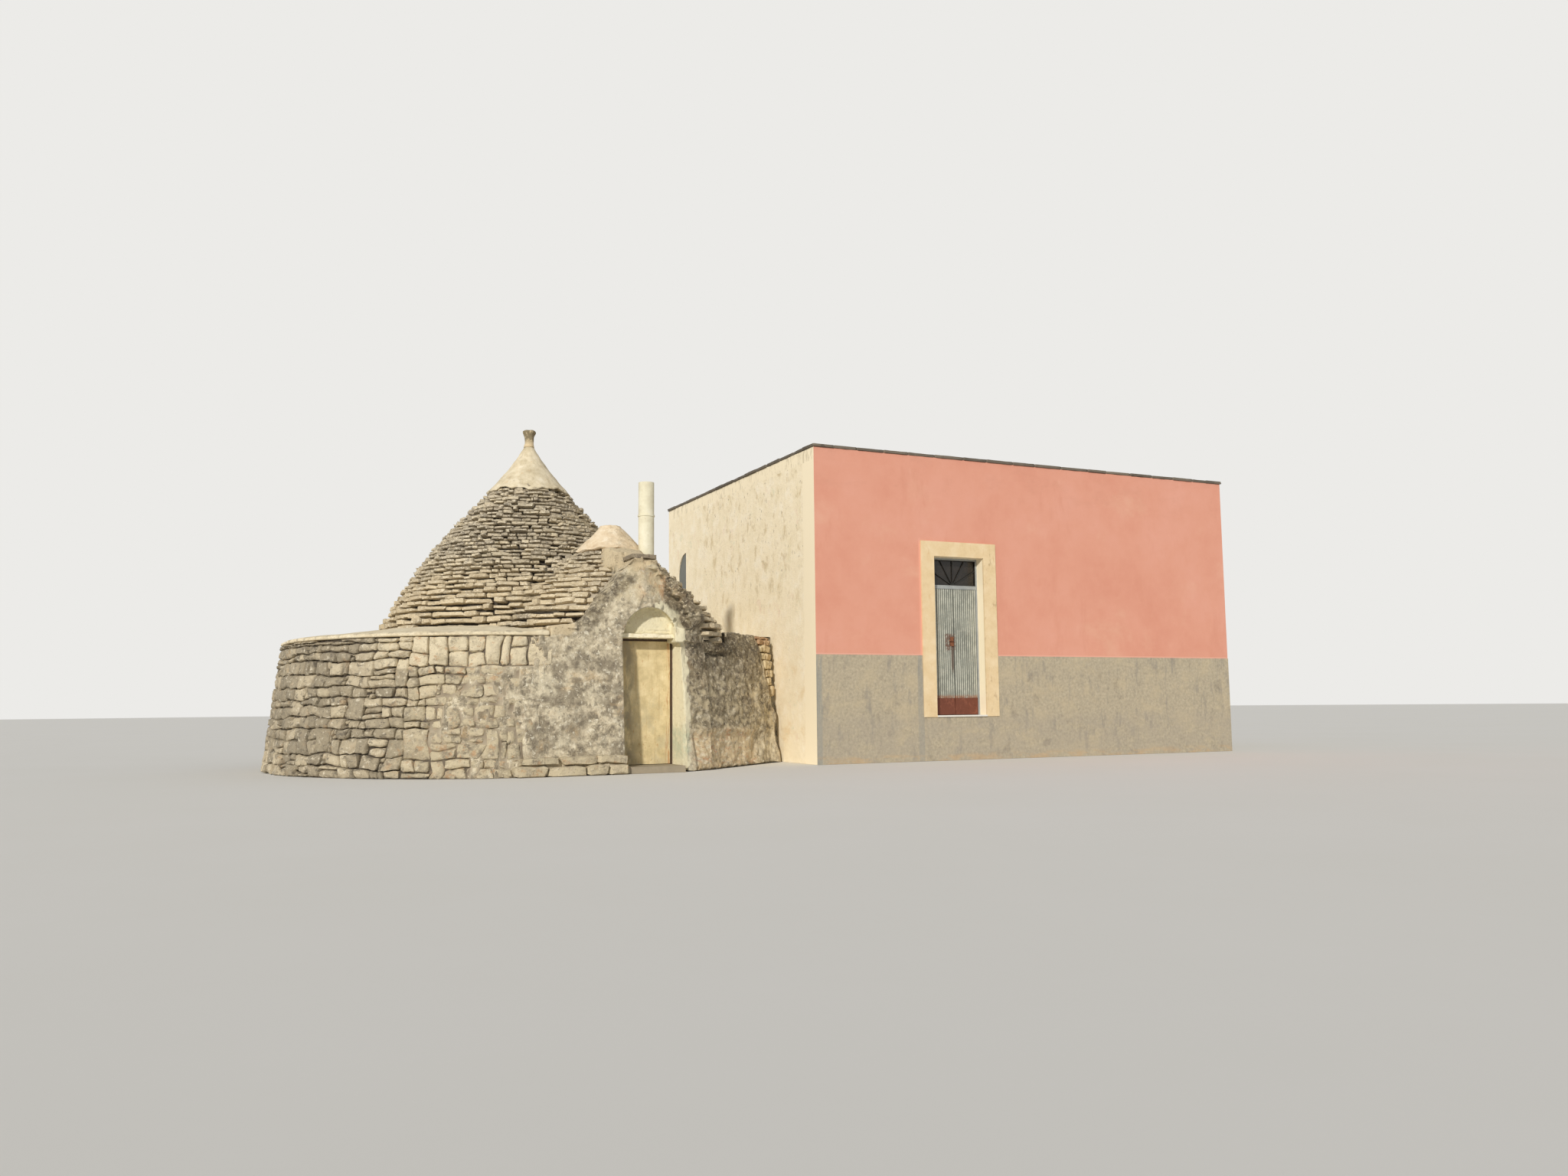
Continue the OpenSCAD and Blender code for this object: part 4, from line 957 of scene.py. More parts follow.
# Heights and widths of the rubble's stones, in metres
RUBBLE_TALL, RUBBLE_WIDE = (0.09, 0.21), (0.13, 0.42)
# Degrees round the wall at which the front's plaster begins, below and beside the big blocks, and at which mortar does
PLASTER_FROM, BLOCK_PLASTER_FROM, MORTAR_FROM = 254, 259.4, 236
# The solid wall begins this far behind the loose stones' faces
LOOSE_DEPTH = 0.22


def wall_reach(angle, z):
    """Distance of the wall's face from the axis: round, and flat along the entrance front."""
    corner, rounding = 0.12, 0.03
    reach = drum_r(z)
    if math.sin(angle) < -0.8:
        flat = front_y(z) / math.sin(angle)
        blend = max(0.0, 1 - abs(reach - flat) / corner)
        reach = min(reach, flat) - rounding * blend * blend
    return reach


def wall_point(u, z, depth):
    """A point of the wall: u metres along it, z up, depth out of its face."""
    angle = u / DRUM_BASE_R
    reach = wall_reach(angle, z) + depth
    return reach * math.cos(angle), reach * math.sin(angle), z


def wall_stone(heap, rng, cell, gap, proud):
    """One stone behind the wall's face: sides, a rounded arris and a slightly tilted, nearly flat front."""
    us, zs = [p[0] for p in cell], [p[1] for p in cell]
    width, height = max(us) - min(us), max(zs) - min(zs)
    narrowest, lowest = 0.045, 0.03
    if width < narrowest or height < lowest:
        return
    cell = worn_outline(rng, cell)
    uc, zc = middle_of(cell)
    lean_u, lean_z = rng.gauss(0, 0.08), rng.gauss(0, 0.13)
    crown = rng.uniform(-0.008, 0.016)
    # Inset and depth of each ring of points, from the stone's back to its face
    rings = [(0.015, -0.16), (0.0, -0.05), (0.006, -0.018), (rng.uniform(0.014, 0.03), -0.002)]
    verts, faces = [], []
    count = len(cell)
    for inset, depth in rings:
        su = max(0.3, 1 - 2 * (gap + inset) / width)
        sz = max(0.3, 1 - 2 * (gap + inset) / height)
        for u, z in cell:
            du, dz = (u - uc) * su, (z - zc) * sz
            wobble = 0.0 if depth < -0.1 else 0.0065
            face = depth + (lean_u * du + lean_z * dz if depth > -0.1 else 0) + rng.uniform(-1, 1) * wobble + proud
            face = min(face, 0.0)
            z_at = max(0.0, zc + dz + rng.uniform(-1, 1) * wobble)
            verts.append(wall_point(uc + du + rng.uniform(-1, 1) * wobble, z_at, face))
    verts.append(wall_point(uc, zc, min(crown + proud, 0.0)))
    for ring in range(len(rings) - 1):
        for i in range(count):
            a, b = ring * count + i, ring * count + (i + 1) % count
            faces.append((a, b, b + count, a + count))
    last = (len(rings) - 1) * count
    faces += [(last + i, last + (i + 1) % count, len(rings) * count) for i in range(count)]
    faces.append(tuple(reversed(range(count))))
    heap.put(np.array(verts), faces, own_tint(rng, 0.5, 0.3))


def cover(angle, z):
    """How much mortar and plaster hide the joints: 0 open rubble, 1 plastered over."""
    edge = PLASTER_FROM + 4.5 * max(0.0, (1.3 - z) / 1.3) + 2.4 * soft_noise(angle * 0.3, z * 2.6, 5)
    edge += 1.6 * soft_noise(angle * 1.1, z * 7.0, 9) + 0.6 * soft_noise(angle * 3.0, z * 21.0, 12)
    if z > BLOCK_COURSE:
        edge = max(edge, BLOCK_PLASTER_FROM + 1.5 * soft_noise(angle, z * 6.0, 14)
                   + 0.9 * soft_noise(angle * 3.0, z * 21.0, 16))
    smear = MORTAR_FROM + 4 * soft_noise(angle * 0.2, z * 1.5, 2)
    plaster = min(1.0, max(0.0, (angle - edge) / 0.9 + 0.5))
    mortar = min(1.0, max(0.0, (angle - smear) / 8)) * (0.68 + 0.28 * soft_noise(angle * 0.6, z * 4, 4))
    if z > BLOCK_COURSE:
        mortar *= 0.45
    return max(plaster, min(0.8, mortar))


def wall_filling(name, a0, a1, covered, step=0.022):
    """The mortar and earth behind the stones, up to the face where plaster covers them."""
    columns = int(math.radians(a1 - a0) * DRUM_BASE_R / step)
    rows = int(STONES_TOP / step)
    verts, tints = [], []
    for side in (0, 1):
        for i in range(columns + 1):
            angle = a0 + (a1 - a0) * i / columns
            for j in range(rows + 1):
                z = STONES_TOP * j / rows
                share = covered(angle, z)
                if side:
                    depth = -0.3
                elif share > 0.8:
                    depth = -0.012 + 0.06 * (share - 0.8) + 0.01 * soft_noise(angle * 0.9, z * 5, 1)
                else:
                    depth = -0.085 + 0.085 * share + 0.008 * soft_noise(angle * 1.3, z * 5, 1)
                if not side and a1 > 260:
                    meet = (a1 - 2.6 + 1.0 * soft_noise(angle * 0.5, z * 1.6, 15)
                            + 0.5 * soft_noise(angle * 2, z * 6, 18))
                    depth -= 0.06 * smooth(meet, meet + 1.3, angle)
                verts.append(wall_point(math.radians(angle) * DRUM_BASE_R, z, min(0.0, depth)))
                tints.append(share)
    faces = []
    stride = rows + 1
    back = (columns + 1) * stride
    for i in range(columns):
        for j in range(rows):
            a = i * stride + j
            faces.append((a, a + stride, a + stride + 1, a + 1))
            faces.append((back + a, back + a + 1, back + a + stride + 1, back + a + stride))
    for i in range(columns):
        a, b = i * stride, (i + 1) * stride
        faces.append((a, back + a, back + b, b))
        faces.append((a + rows, b + rows, back + b + rows, back + a + rows))
    for j in range(rows):
        a, b = j, columns * stride + j
        faces.append((a, a + 1, back + a + 1, back + a))
        faces.append((b, back + b, back + b + 1, b + 1))
    made = new_mesh_piece(name, verts, faces)
    # Open joints get the dark end of the mortar's tones: earth, and painted shade
    write_values(made, "tint", tints)
    made.data.materials.append(mortar_and_joint_shade)
    made.data.materials.append(old_plaster)
    for face in made.data.polygons:
        face.material_index = int(min(tints[v] for v in face.vertices) > 0.72)
    pick(made)
    bpy.ops.object.shade_smooth()
    return made


def inner_wall(node, outer_face=3.2):
    """The wall behind the loose stones: a copy of the node with its round outer face drawn in."""
    made = copy_of(node, node + "_core")
    for vert in made.data.vertices:
        reach = math.hypot(vert.co.x, vert.co.y)
        if reach > outer_face:
            vert.co.x *= (reach - LOOSE_DEPTH) / reach
            vert.co.y *= (reach - LOOSE_DEPTH) / reach
    dress(made, rubble_stone)
    add_tint(made)
    return made


def rubble_wall(name, replaced, a0, a1, seed, covered, blocks_from=None):
    """A stretch of wall between two angles, with big blocks under the ledge from one angle on."""
    rng = random.Random(seed)
    u0, u1 = math.radians(a0) * DRUM_BASE_R, math.radians(a1) * DRUM_BASE_R
    top = STONES_TOP
    heap = Heap()
    block_u = math.radians(blocks_from) * DRUM_BASE_R if blocks_from else u1
    cells = coursed_cells(rng, u0, block_u, 0, top - 0.07, RUBBLE_TALL, RUBBLE_WIDE)
    cells += coursed_cells(rng, u0, block_u, top - 0.07, top, (0.05, 0.07), (0.25, 0.6))
    if blocks_from:
        cells += coursed_cells(rng, block_u, u1, 0, BLOCK_COURSE, RUBBLE_TALL, RUBBLE_WIDE)
        u, lean = block_u, 0.0
        while u < u1 - 0.05:
            right = min(u1, u + rng.choice((0.13, 0.2, 0.26, 0.32, 0.38)) * rng.uniform(0.9, 1.1))
            next_lean = rng.uniform(-0.05, 0.05)
            cell = [(u, BLOCK_COURSE), (right, BLOCK_COURSE), (right + next_lean, top), (u + lean, top)]
            if right - u > 0.18 and rng.random() < 0.5:
                zs, slope = BLOCK_COURSE + rng.uniform(0.1, 0.28), rng.uniform(-0.15, 0.15)
                middle = (u + right) / 2
                cells += [clip(cell, slope, 1, slope * middle + zs), clip(cell, -slope, -1, -slope * middle - zs)]
            else:
                cells.append(cell)
            u, lean = right, next_lean
    for cell in cells:
        if len(cell) < 3:
            continue
        uc, zc = middle_of(cell)
        angle = math.degrees(uc / DRUM_BASE_R)
        if drum_r(zc) * math.cos(math.radians(angle)) > BLOCK_X - 0.03:
            continue
        share = covered(angle, zc)
        if share > 0.97:
            continue
        gap = rng.choice((0.002, 0.004, 0.007, 0.012)) * (1 - 0.6 * share)
        wall_stone(heap, rng, cell, gap, -0.004 - rng.uniform(0, 0.034) * (1 - 0.7 * share))
    stones = heap.piece(name, [rubble_stone], crease=50)
    wall = join(name, [stones, wall_filling(name + "_filling", a0, a1, covered)] + [inner_wall(n) for n in replaced])
    for vert in wall.data.vertices:
        vert.co.x = min(BLOCK_X, vert.co.x)
    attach(wall, "house")
    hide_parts(*replaced)


rubble_wall("rubble_left", ["drum_left", "drum_front_left"], 160, 262.6, 11, cover, blocks_from=233)
rubble_wall("rubble_back", ["drum_back_left", "drum_back_right"], 40, 160, 12, lambda angle, z: 0.0)
rubble_wall("rubble_right", ["drum_right"], 18, 40, 13, lambda angle, z: 0.0)


# Entrance front, gable and wing, with plaster up to the small cap's foot: one plastered body, its steps and corners
# softened

# Left edge of the plastered gable, from the wall's top to the flat top: height, place across
LEFT_SLOPE = [(1.93, -0.6), (1.99, -0.5), (2.08, -0.1), (2.45, 0.17), (2.7, 0.42), (3.0, 0.7)]
SLOPE_TOP = [(x, z) for z, x in LEFT_SLOPE]


def right_slope_x(z):
    return 0.99 + 0.99 * (GABLE_TOP - z) / 0.95


def small_front(x, z):
    """The front of the small cone at one place across."""
    return SMALL_AXIS.y - math.sqrt(max(0.01, small_r(z) ** 2 - (x - SMALL_AXIS.x) ** 2))


def lofted(name, levels):
    """A closed solid through rings of points, all with the same count."""
    count = len(levels[0])
    verts = [point for level in levels for point in level]
    faces = [(r * count + i, r * count + (i + 1) % count, (r + 1) * count + (i + 1) % count, (r + 1) * count + i)
             for r in range(len(levels) - 1) for i in range(count)]
    faces += [tuple(reversed(range(count))), tuple(range(len(verts) - count, len(verts)))]
    made = new_mesh_piece(name, verts, faces)
    fresh = bmesh.new()
    fresh.from_mesh(made.data)
    bmesh.ops.recalc_face_normals(fresh, faces=fresh.faces)
    fresh.to_mesh(made.data)
    fresh.free()
    return made


def hulled(name, points):
    """The convex body round some points."""
    made = new_mesh_piece(name, points, [])
    edit_all(made, (bpy.ops.mesh.convex_hull, {}))
    return made


def left_fillet():
    """Plaster run from the gable's left slope back to the slates."""
    levels = []
    for z in (1.98, 2.15, 2.3, 2.45, 2.6, 2.75, 2.9, 3.04):
        edge, back = along(LEFT_SLOPE, z) + 0.04, along(PLASTER_EDGE, z) - 0.02
        y0, y1 = front_y(z) + 0.03, small_front(back, z) - 0.015
        middle = ((edge + back) / 2 + 0.02, (y0 + y1) / 2)
        levels.append([(edge, y0, z), (edge + 0.45, y0, z), (back + 0.4, max(y1, -2.9), z), (back, y1, z),
                       (middle[0], middle[1], z)])
    return lofted("left_fillet", levels)


def left_return():
    """The front's plaster carried on to the left, diving under the rubble's own mortar."""
    start, width, last = -0.95, 0.5, 11
    levels = []
    for i in range(last + 1):
        x = start + width * i / last
        outer = []
        for z in (0.0, 0.45, 0.9, 1.3, 1.46, 1.52, 1.7, 1.87):
            angle = math.atan2(front_y(z), x)
            reach = wall_reach(angle, z) - 0.002 - 0.09 * smooth(-0.84, -0.97, x)
            if z > BLOCK_COURSE:
                reach -= 0.1 * smooth(-0.56, -0.7, x)
            outer.append((reach * math.cos(angle), reach * math.sin(angle), z))
        levels.append(outer + [(x, -3.4, 1.87), (x, -3.4, 0.0)])
    return lofted("left_return", levels)


def cap_fillet():
    """Plaster from the gable's top up to the foot of the small cap."""
    points = [(0.58, -3.5, 2.9), (0.86, -3.5, 2.9), (0.62, -3.555, 2.98), (0.82, -3.555, 3.0), (0.63, -3.53, 3.055),
              (0.83, -3.53, 3.075), (0.5, -2.6, 2.8), (1.2, -2.6, 2.8)]
    for i in range(9):
        angle = math.radians(236 + 84 * i / 8)
        for reach, z in ((0.47, 3.27), (0.53, 3.2), (0.6, 3.06), (0.68, 2.93)):
            points.append((SMALL_AXIS.x + reach * math.cos(angle), SMALL_AXIS.y + reach * math.sin(angle), z))
    return hulled("cap_fillet", points)


def slope_foot():
    """The end of the right slope, on the corner where the front turns into the wing."""
    points = []
    for z, right in ((1.82, 1.84), (2.04, 1.8)):
        points += [(1.3, front_y(z) + 0.02, z), (right - 0.03, front_y(z) + 0.03, z), (right, -3.38, z),
                   (right, -3.1, z), (1.3, -3.1, z)]
    return hulled("slope_foot", points)


# The wing's face: its start at the foot, the way along it, the way out of it, and its lean
WING_START, WING_OUT, WING_LEAN = Vector((1.9, -3.463, 0.0)), Vector((0.6543, -0.7562, 0.0)), math.tan(math.radians(7))
WING_ALONG = Vector(WING)


def wing_point(t, z, out):
    """A point t metres along the wing, z up, and out of its leaning face."""
    return WING_START + WING_ALONG * t + WING_OUT * (out - WING_LEAN * z) + Vector((0, 0, z))


def wing_place(co):
    """How far along the wing and how far out of its face a point is."""
    off = co - WING_START
    return off.dot(WING_ALONG), off.dot(WING_OUT) + WING_LEAN * co.z


def lump(vector, size, seed):
    """Noise from about -1 to 1 in space, with bumps of one size."""
    return noise.noise(vector * (1 / size) + Vector((seed, seed * 1.7, -seed)))


def sunk_stones():
    """Rough stones half out of the mortar: along the gable's right slope and on the wing over its crack."""
    rng = random.Random(29)
    blocks = [rough_block(80 + seed, 1, 0.16, 0.13) for seed in range(6)]
    heap = Heap()
    niche_clear, slope_end = 0.58, 1.84
    z, top = 1.9, 2.95
    while z < top:
        tall = rng.uniform(0.05, 0.1)
        edge = min(slope_end, right_slope_x(z + tall / 2))
        for depth in (0.0, 0.2, 0.4, 0.6):
            x = edge + rng.uniform(-0.03, 0.05)
            least = max(1.0, edge - (0.1 + 0.24 * smooth(2.8, 2.2, z) if depth == 0 else 0.16))
            while x > least:
                long = rng.uniform(0.08, 0.2)
                sunk = 0.05 * (edge - x) / 0.34 + 0.04 * smooth(2.2, 1.95, z) + rng.uniform(-0.025, 0.02)
                at = (x - long / 2, front_y(z) + 0.085 + depth + sunk, z + tall / 2 + rng.uniform(-0.012, 0.012))
                if math.hypot(x - long - DOOR_MIDDLE, z - NICHE_FOOT) > niche_clear:
                    heap.stone(rng.choice(blocks), (long, 0.23, tall * rng.uniform(0.85, 1.25)),
                               frame_of((1, 0, 0), (0, 1, 0), rng.gauss(0, 0.15), rng.gauss(0.12, 0.16)), at, 0.5)
                x -= long * 0.92
        z += tall * 0.9
    t, crack_end = 0.1, 0.95
    while t < crack_end:
        long = rng.uniform(0.12, 0.28)
        at = wing_point(t + long / 2, rng.uniform(1.77, 1.82), -0.075 + rng.uniform(-0.01, 0.02))
        heap.stone(rng.choice(blocks), (long, 0.2, rng.uniform(0.1, 0.17)),
                   frame_of(tuple(WING_ALONG), tuple(-WING_OUT), rng.gauss(0.1, 0.05), rng.gauss(0, 0.1)), at, 0.5)
        t += long * 0.95
    return heap.piece("sunk_stones", [])


def lintel_ends():
    """Plaster over the ends of the lintel, beside the niche."""
    ends = []
    for x0, x1 in ((DOOR_X0 - 0.12, DOOR_X0), (DOOR_X1, DOOR_X1 + 0.12)):
        levels = []
        for z in (1.87, 1.945):
            y0, y1 = front_y(z) + 0.022, front_y(z) + 0.3
            levels.append([(x0, y0, z), (x1, y0, z), (x1, y1, z), (x0, y1, z)])
        ends.append(lofted("lintel_end", levels))
    return ends


def bare_line(z):
    """Where along the wing its plaster ends."""
    return 2.0 + 0.4 * (2.03 - max(z, 1.18)) + 0.03 * max(0.0, 1.18 - z)


def washed(across, back, reach, z, frayed):
    """How white the front is: the strip right of the door, the door's left reveal, and the niche with its rim."""
    if z < NICHE_FOOT + 0.02:
        if across > 0:
            return smooth(0.6, 0.5, across + frayed) * (1 - 0.4 * smooth(1.78, 1.9, z))
        return smooth(0.02, 0.05, back) * (across > -0.46)
    if back > 0.035 and reach < 0.43:
        return 1.0
    if across > 0:
        return 0.5 * smooth(0.64, 0.46, reach + frayed) * smooth(0.0, 0.2, across)
    return 0.0


def paint_front(body):
    """Mark on the mesh where the front is whitewashed, darkened by lichen and on the wing by painted shade as well, or
    the cap's cream.
    """
    wash, lichen_and_shade, cream = [], [], []
    for vert in body.data.vertices:
        co = vert.co
        across, back = co.x - DOOR_MIDDLE, co.y - front_y(co.z)
        frayed = 0.09 * lump(co, 0.17, 41) + 0.04 * lump(co, 0.06, 42)
        lit = washed(across, back, math.hypot(across, co.z - NICHE_FOOT), co.z, frayed)
        wash.append(lit * (co.y < -3.1) * (co.z > 0.06))
        # Lichen and painted shade: lichen in a band along the gable's right slope; the wing over its foot darkened as
        # lichen and as painted shade of the grazing sun; a darker strip along the edge against the slates
        inside = 2.85 - (0.692 * co.x + 0.7217 * co.z)
        band = 0.06 + 0.3 * smooth(2.8, 2.2, co.z)
        dark = smooth(band + 0.08, band - 0.04, inside) * (co.z > 1.9) * (co.x > 1.05)
        dark = max(dark, 0.8 * smooth(1.48, 1.62, co.x)) * smooth(0.5, 0.6, co.z + 0.03 * lump(co, 0.2, 17))
        left = smooth(0.3, 0.1, abs(co.x - along(PLASTER_EDGE, co.z) - 0.12))
        left = 0.38 * left * (co.z > 2.0) * smooth(2.9, 2.7, co.z)
        dark = max(dark, left * (co.y < GABLE_BACK))
        bare = smooth(bare_line(co.z) - 0.1, bare_line(co.z), wing_place(co)[0])
        lichen_and_shade.append(dark * (1 - bare))
        # Cream: where the plaster meets the ledge on the left, and the run down from the small cap
        ledge = smooth(1.84, 1.92, co.z + 0.4 * frayed) * smooth(-0.05, -0.4, co.x + frayed) * (co.y < -2.9)
        cream.append(max(ledge, smooth(2.82, 2.96, co.z - 0.35 * max(0.0, co.x - 0.85)) * (co.x < 1.3)))
    for name, values in (("wash", wash), ("lichen_and_shade", lichen_and_shade), ("cream", cream)):
        write_values(body, name, values)


# Half widths within which the doorway and the niche keep their shape
WAY_HALF, NICHE_HALF = 0.475, 0.42
# Heights on the wing: the edge of its plaster over the foot, and the crack
WING_EDGE, WING_CRACK = 0.54, 1.69


def wing_push(co, t):
    """How far the wing's plaster stands out: rough, cut back at its foot, with a lip over that and a crack."""
    line = WING_EDGE + 0.03 * lump(co, 0.5, 8)
    push = 0.016 * lump(co, 0.3, 5) + 0.018 * lump(co, 0.12, 6) + 0.014 * lump(co, 0.06, 10)
    push -= 0.006 + 0.03 * smooth(line, line - 0.05, co.z)
    push += 0.02 * math.exp(-((co.z - line - 0.03) / 0.02) ** 2) * (t < 1.3)
    crack = WING_CRACK + 0.025 * lump(co, 0.3, 9)
    return push - 0.09 * smooth(0.03, 0.01, abs(co.z - crack)) * smooth(0.1, 0.2, t) * smooth(0.95, 0.8, t)


def shape_entrance(body):
    """Roughen the plaster, keep the doorway clean, and pull back what stands out of the faces."""
    for vert, normal in with_normals(body):
        co = vert.co
        if math.hypot(co.x, co.y) < 2.9 and co.z < 1.9:
            continue
        across, face = abs(co.x - DOOR_MIDDLE), front_y(co.z)
        inside_way = across < WAY_HALF and co.z < 1.93 and co.y > face + 0.03
        inside_niche = across < NICHE_HALF and 1.88 < co.z < 2.36 and co.y > face + 0.04
        # The shoulder left of the niche follows the gable's left slope down to the wall's top
        if co.y < -3.1 and co.x < 0.7 and co.z > WALL_TOP:
            co.z = min(co.z, max(WALL_TOP, along(SLOPE_TOP, co.x)))
        if inside_way:
            continue
        if inside_niche:
            co += normal * 0.004 * lump(co, 0.1, 4)
            continue
        # The plaster lies smooth against the block
        amount = 1 - smooth(3.5, 3.7, co.x)
        # The foot of the right slope is drawn back to the wing's face and to the front's
        if 1.8 < co.z < 2.35 and co.y < -2.9:
            out = wing_place(co)[1]
            co -= WING_OUT * 0.92 * max(0.0, out - 0.03) * smooth(2.32, 1.98, co.z) * smooth(1.4, 1.47, co.x)
        beside = smooth(1.78, 1.85, co.z) * smooth(2.15, 2.03, co.z) * smooth(1.58, 1.48, co.x) * (co.x > DOOR_X1)
        if beside > 0 and normal.y < -0.4 and abs(co.y - front_y(co.z)) < 0.08:
            turned_back = WING_START.y + (WING_OUT.x * (co.x - WING_START.x) + WING_LEAN * co.z - 0.02) / -WING_OUT.y
            co.y += (max(front_y(co.z) + 0.016, turned_back) - co.y) * beside
        if co.z > 2.86 and co.y < -3.0:
            co.x = min(co.x, 1.03 + 0.6 * max(0.0, 3.0 - co.z))
        across = abs(co.x - DOOR_MIDDLE)
        near = across if co.z < NICHE_FOOT else math.hypot(across, co.z - NICHE_FOOT)
        edge = smooth(0.0, 0.08, near - NICHE_HALF)
        push = 0.026 * lump(co, 0.42, 1) + 0.014 * lump(co, 0.16, 2) + 0.008 * lump(co, 0.07, 3) - 0.008
        t, out = wing_place(co)
        if t > -0.5 and abs(out) < 0.08 and co.z < 2.06:
            push += wing_push(co, t)
            co -= WING_OUT * 0.12 * smooth(0.0, 0.035, t - bare_line(co.z) - 0.1 * lump(co, 0.25, 31))
        co += normal * (push * edge - 0.014 * (1 - edge)) * amount
        co.z = max(0.0, co.z)
        co.x = min(BLOCK_X, co.x)


def plastered_front():
    nodes_in_it = ("facade_left_pier", "facade_right_pier", "gable", "right_wing")
    parts = [copy_of(name, name + "_copy") for name in nodes_in_it]
    parts += [left_fillet(), cap_fillet(), left_return(), slope_foot(), sunk_stones()] + lintel_ends()
    body = join("entrance_masonry", parts)
    body.data.materials.clear()
    body.data.use_remesh_fix_poles = False
    remesh(body, 0.0245, 2)
    shape_entrance(body)
    paint_front(body)
    smooth_dress(body, old_plaster)
    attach(body, "house")
    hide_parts("facade_left_pier", "facade_right_pier", "gable", "right_wing")


def bare_end(rng, blocks):
    """Stones at the wing's end, in courses from under its bare line up to its top."""
    loose = Heap()
    z, top, end = 1.06, 2.04, 2.56
    while z < top - 0.04:
        tall = min(rng.uniform(0.08, 0.19), top - z)
        t = bare_line(z + tall / 2) + rng.uniform(0.03, 0.08)
        while t < end - 0.06:
            long = min(rng.uniform(0.1, 0.28), end - t)
            if long > 0.05:
                at = wing_point(t + long / 2, z + tall / 2, -0.132 + rng.uniform(0.0, 0.03))
                loose.stone(rng.choice(blocks), (long - 0.012, 0.2, tall * rng.uniform(0.84, 0.96)),
                            frame_of(tuple(WING_ALONG), tuple(-WING_OUT), rng.gauss(0.12, 0.06), rng.gauss(0, 0.06)),
                            at, rng.uniform(0.4, 1.0) if z < 1.86 else rng.uniform(0.0, 0.25))
            t += long
        z += tall
    return loose


def footings(rng, blocks):
    """Two courses of big stones before the wall, left of the door; the upper one starts further in."""
    pale = Heap()
    for level, (low, high) in enumerate(((0.0, 0.15), (0.15, 0.27))):
        x = -1.02 + 0.12 * level
        while x < DOOR_X0 - 0.06:
            long = min(rng.uniform(0.24, 0.52), DOOR_X0 + 0.03 - x)
            if long < 0.1:
                break
            angle = math.atan2(FRONT_FOOT, x + long / 2)
            wall = wall_reach(angle, 0.1) * math.sin(angle)
            tall = high - low - rng.uniform(0.008, 0.03)
            at = (x + long / 2, wall + 0.045 + 0.03 * level - rng.uniform(0, 0.03), low + tall / 2 + 0.002)
            pale.stone(rng.choice(blocks), (long - 0.01, 0.26, tall),
                       frame_of((1, 0, 0), (0, 1, 0), rng.gauss(0, 0.03), rng.gauss(0, 0.02)), at,
                       own_tint(rng, 0.65, 0.2))
            x += long
    return pale


def bare_stones():
    """Stones that the plaster has left bare, kept off the ground, the block and the front of the CAD box."""
    rng = random.Random(23)
    blocks = [rough_block(40 + seed, 2, 0.13, 0.1) for seed in range(8)]
    loose, pale = bare_end(rng, blocks), footings(rng, blocks)
    for heap in (pale, loose):
        for verts in heap.verts:
            verts[:, 2] = np.maximum(verts[:, 2], 0.0)
            verts[:, 1] = np.maximum(verts[:, 1], cad_box[0][1])
            verts[:, 0] = np.minimum(verts[:, 0], BLOCK_X - 0.001)
    slope = loose.piece("bare_end_stones", [bare_stone])
    footing = pale.piece("footing_courses", [rubble_stone])
    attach(slope, "house")
    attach(footing, "house")
    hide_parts("footing_stones")


plastered_front()
bare_stones()


# Caps and pinnacle turned, the ledge and the two slabs remeshed from their nodes; all made uneven

def uneven(piece, size, amount, seed):
    """Push each point out or in along its normal by a smooth noise."""
    for vert, normal in with_normals(piece):
        vert.co += normal * amount * (lump(vert.co, size, seed) + 0.5 * lump(vert.co, size / 2.7, seed + 3))


def main_cap():
    """A hollow-sided cone of plaster, from a wavy foot on the slates up to the pinnacle's neck."""
    foot_r, hollow, last = CAP_R - 0.012, 0.042, 18
    outer = []
    for i in range(last + 1):
        t = i / last
        z = CAP_FOOT + (CAP_TOP - CAP_FOOT) * t
        outer.append((foot_r + (NECK_R - CAP_R + 0.012) * t - hollow * 4 * t * (1 - t), z))
    section = [(foot_r - 0.1, CAP_FOOT + 0.01), (foot_r - 0.03, CAP_FOOT)] + outer
    section += [(NECK_R - 0.03, CAP_TOP), (NECK_R - 0.03, CAP_TOP - 0.2), (foot_r - 0.16, CAP_FOOT + 0.12)]
    made = turned("cap_plastered", section, 128)
    for vert in made.data.vertices:
        angle = math.atan2(vert.co.y, vert.co.x)
        if vert.co.z < CAP_FOOT + 0.06:
            drop = 0.02 * math.sin(angle * 5 + 1) + 0.014 * math.sin(angle * 13 + 2) + 0.008 * math.sin(angle * 29)
            vert.co.z = max(CAP_FOOT - 0.03, vert.co.z + drop)
    uneven(made, 0.16, 0.012, 11)
    smooth_dress(made, cap_plaster)
    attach(made, "house")
    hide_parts("cone_cap")


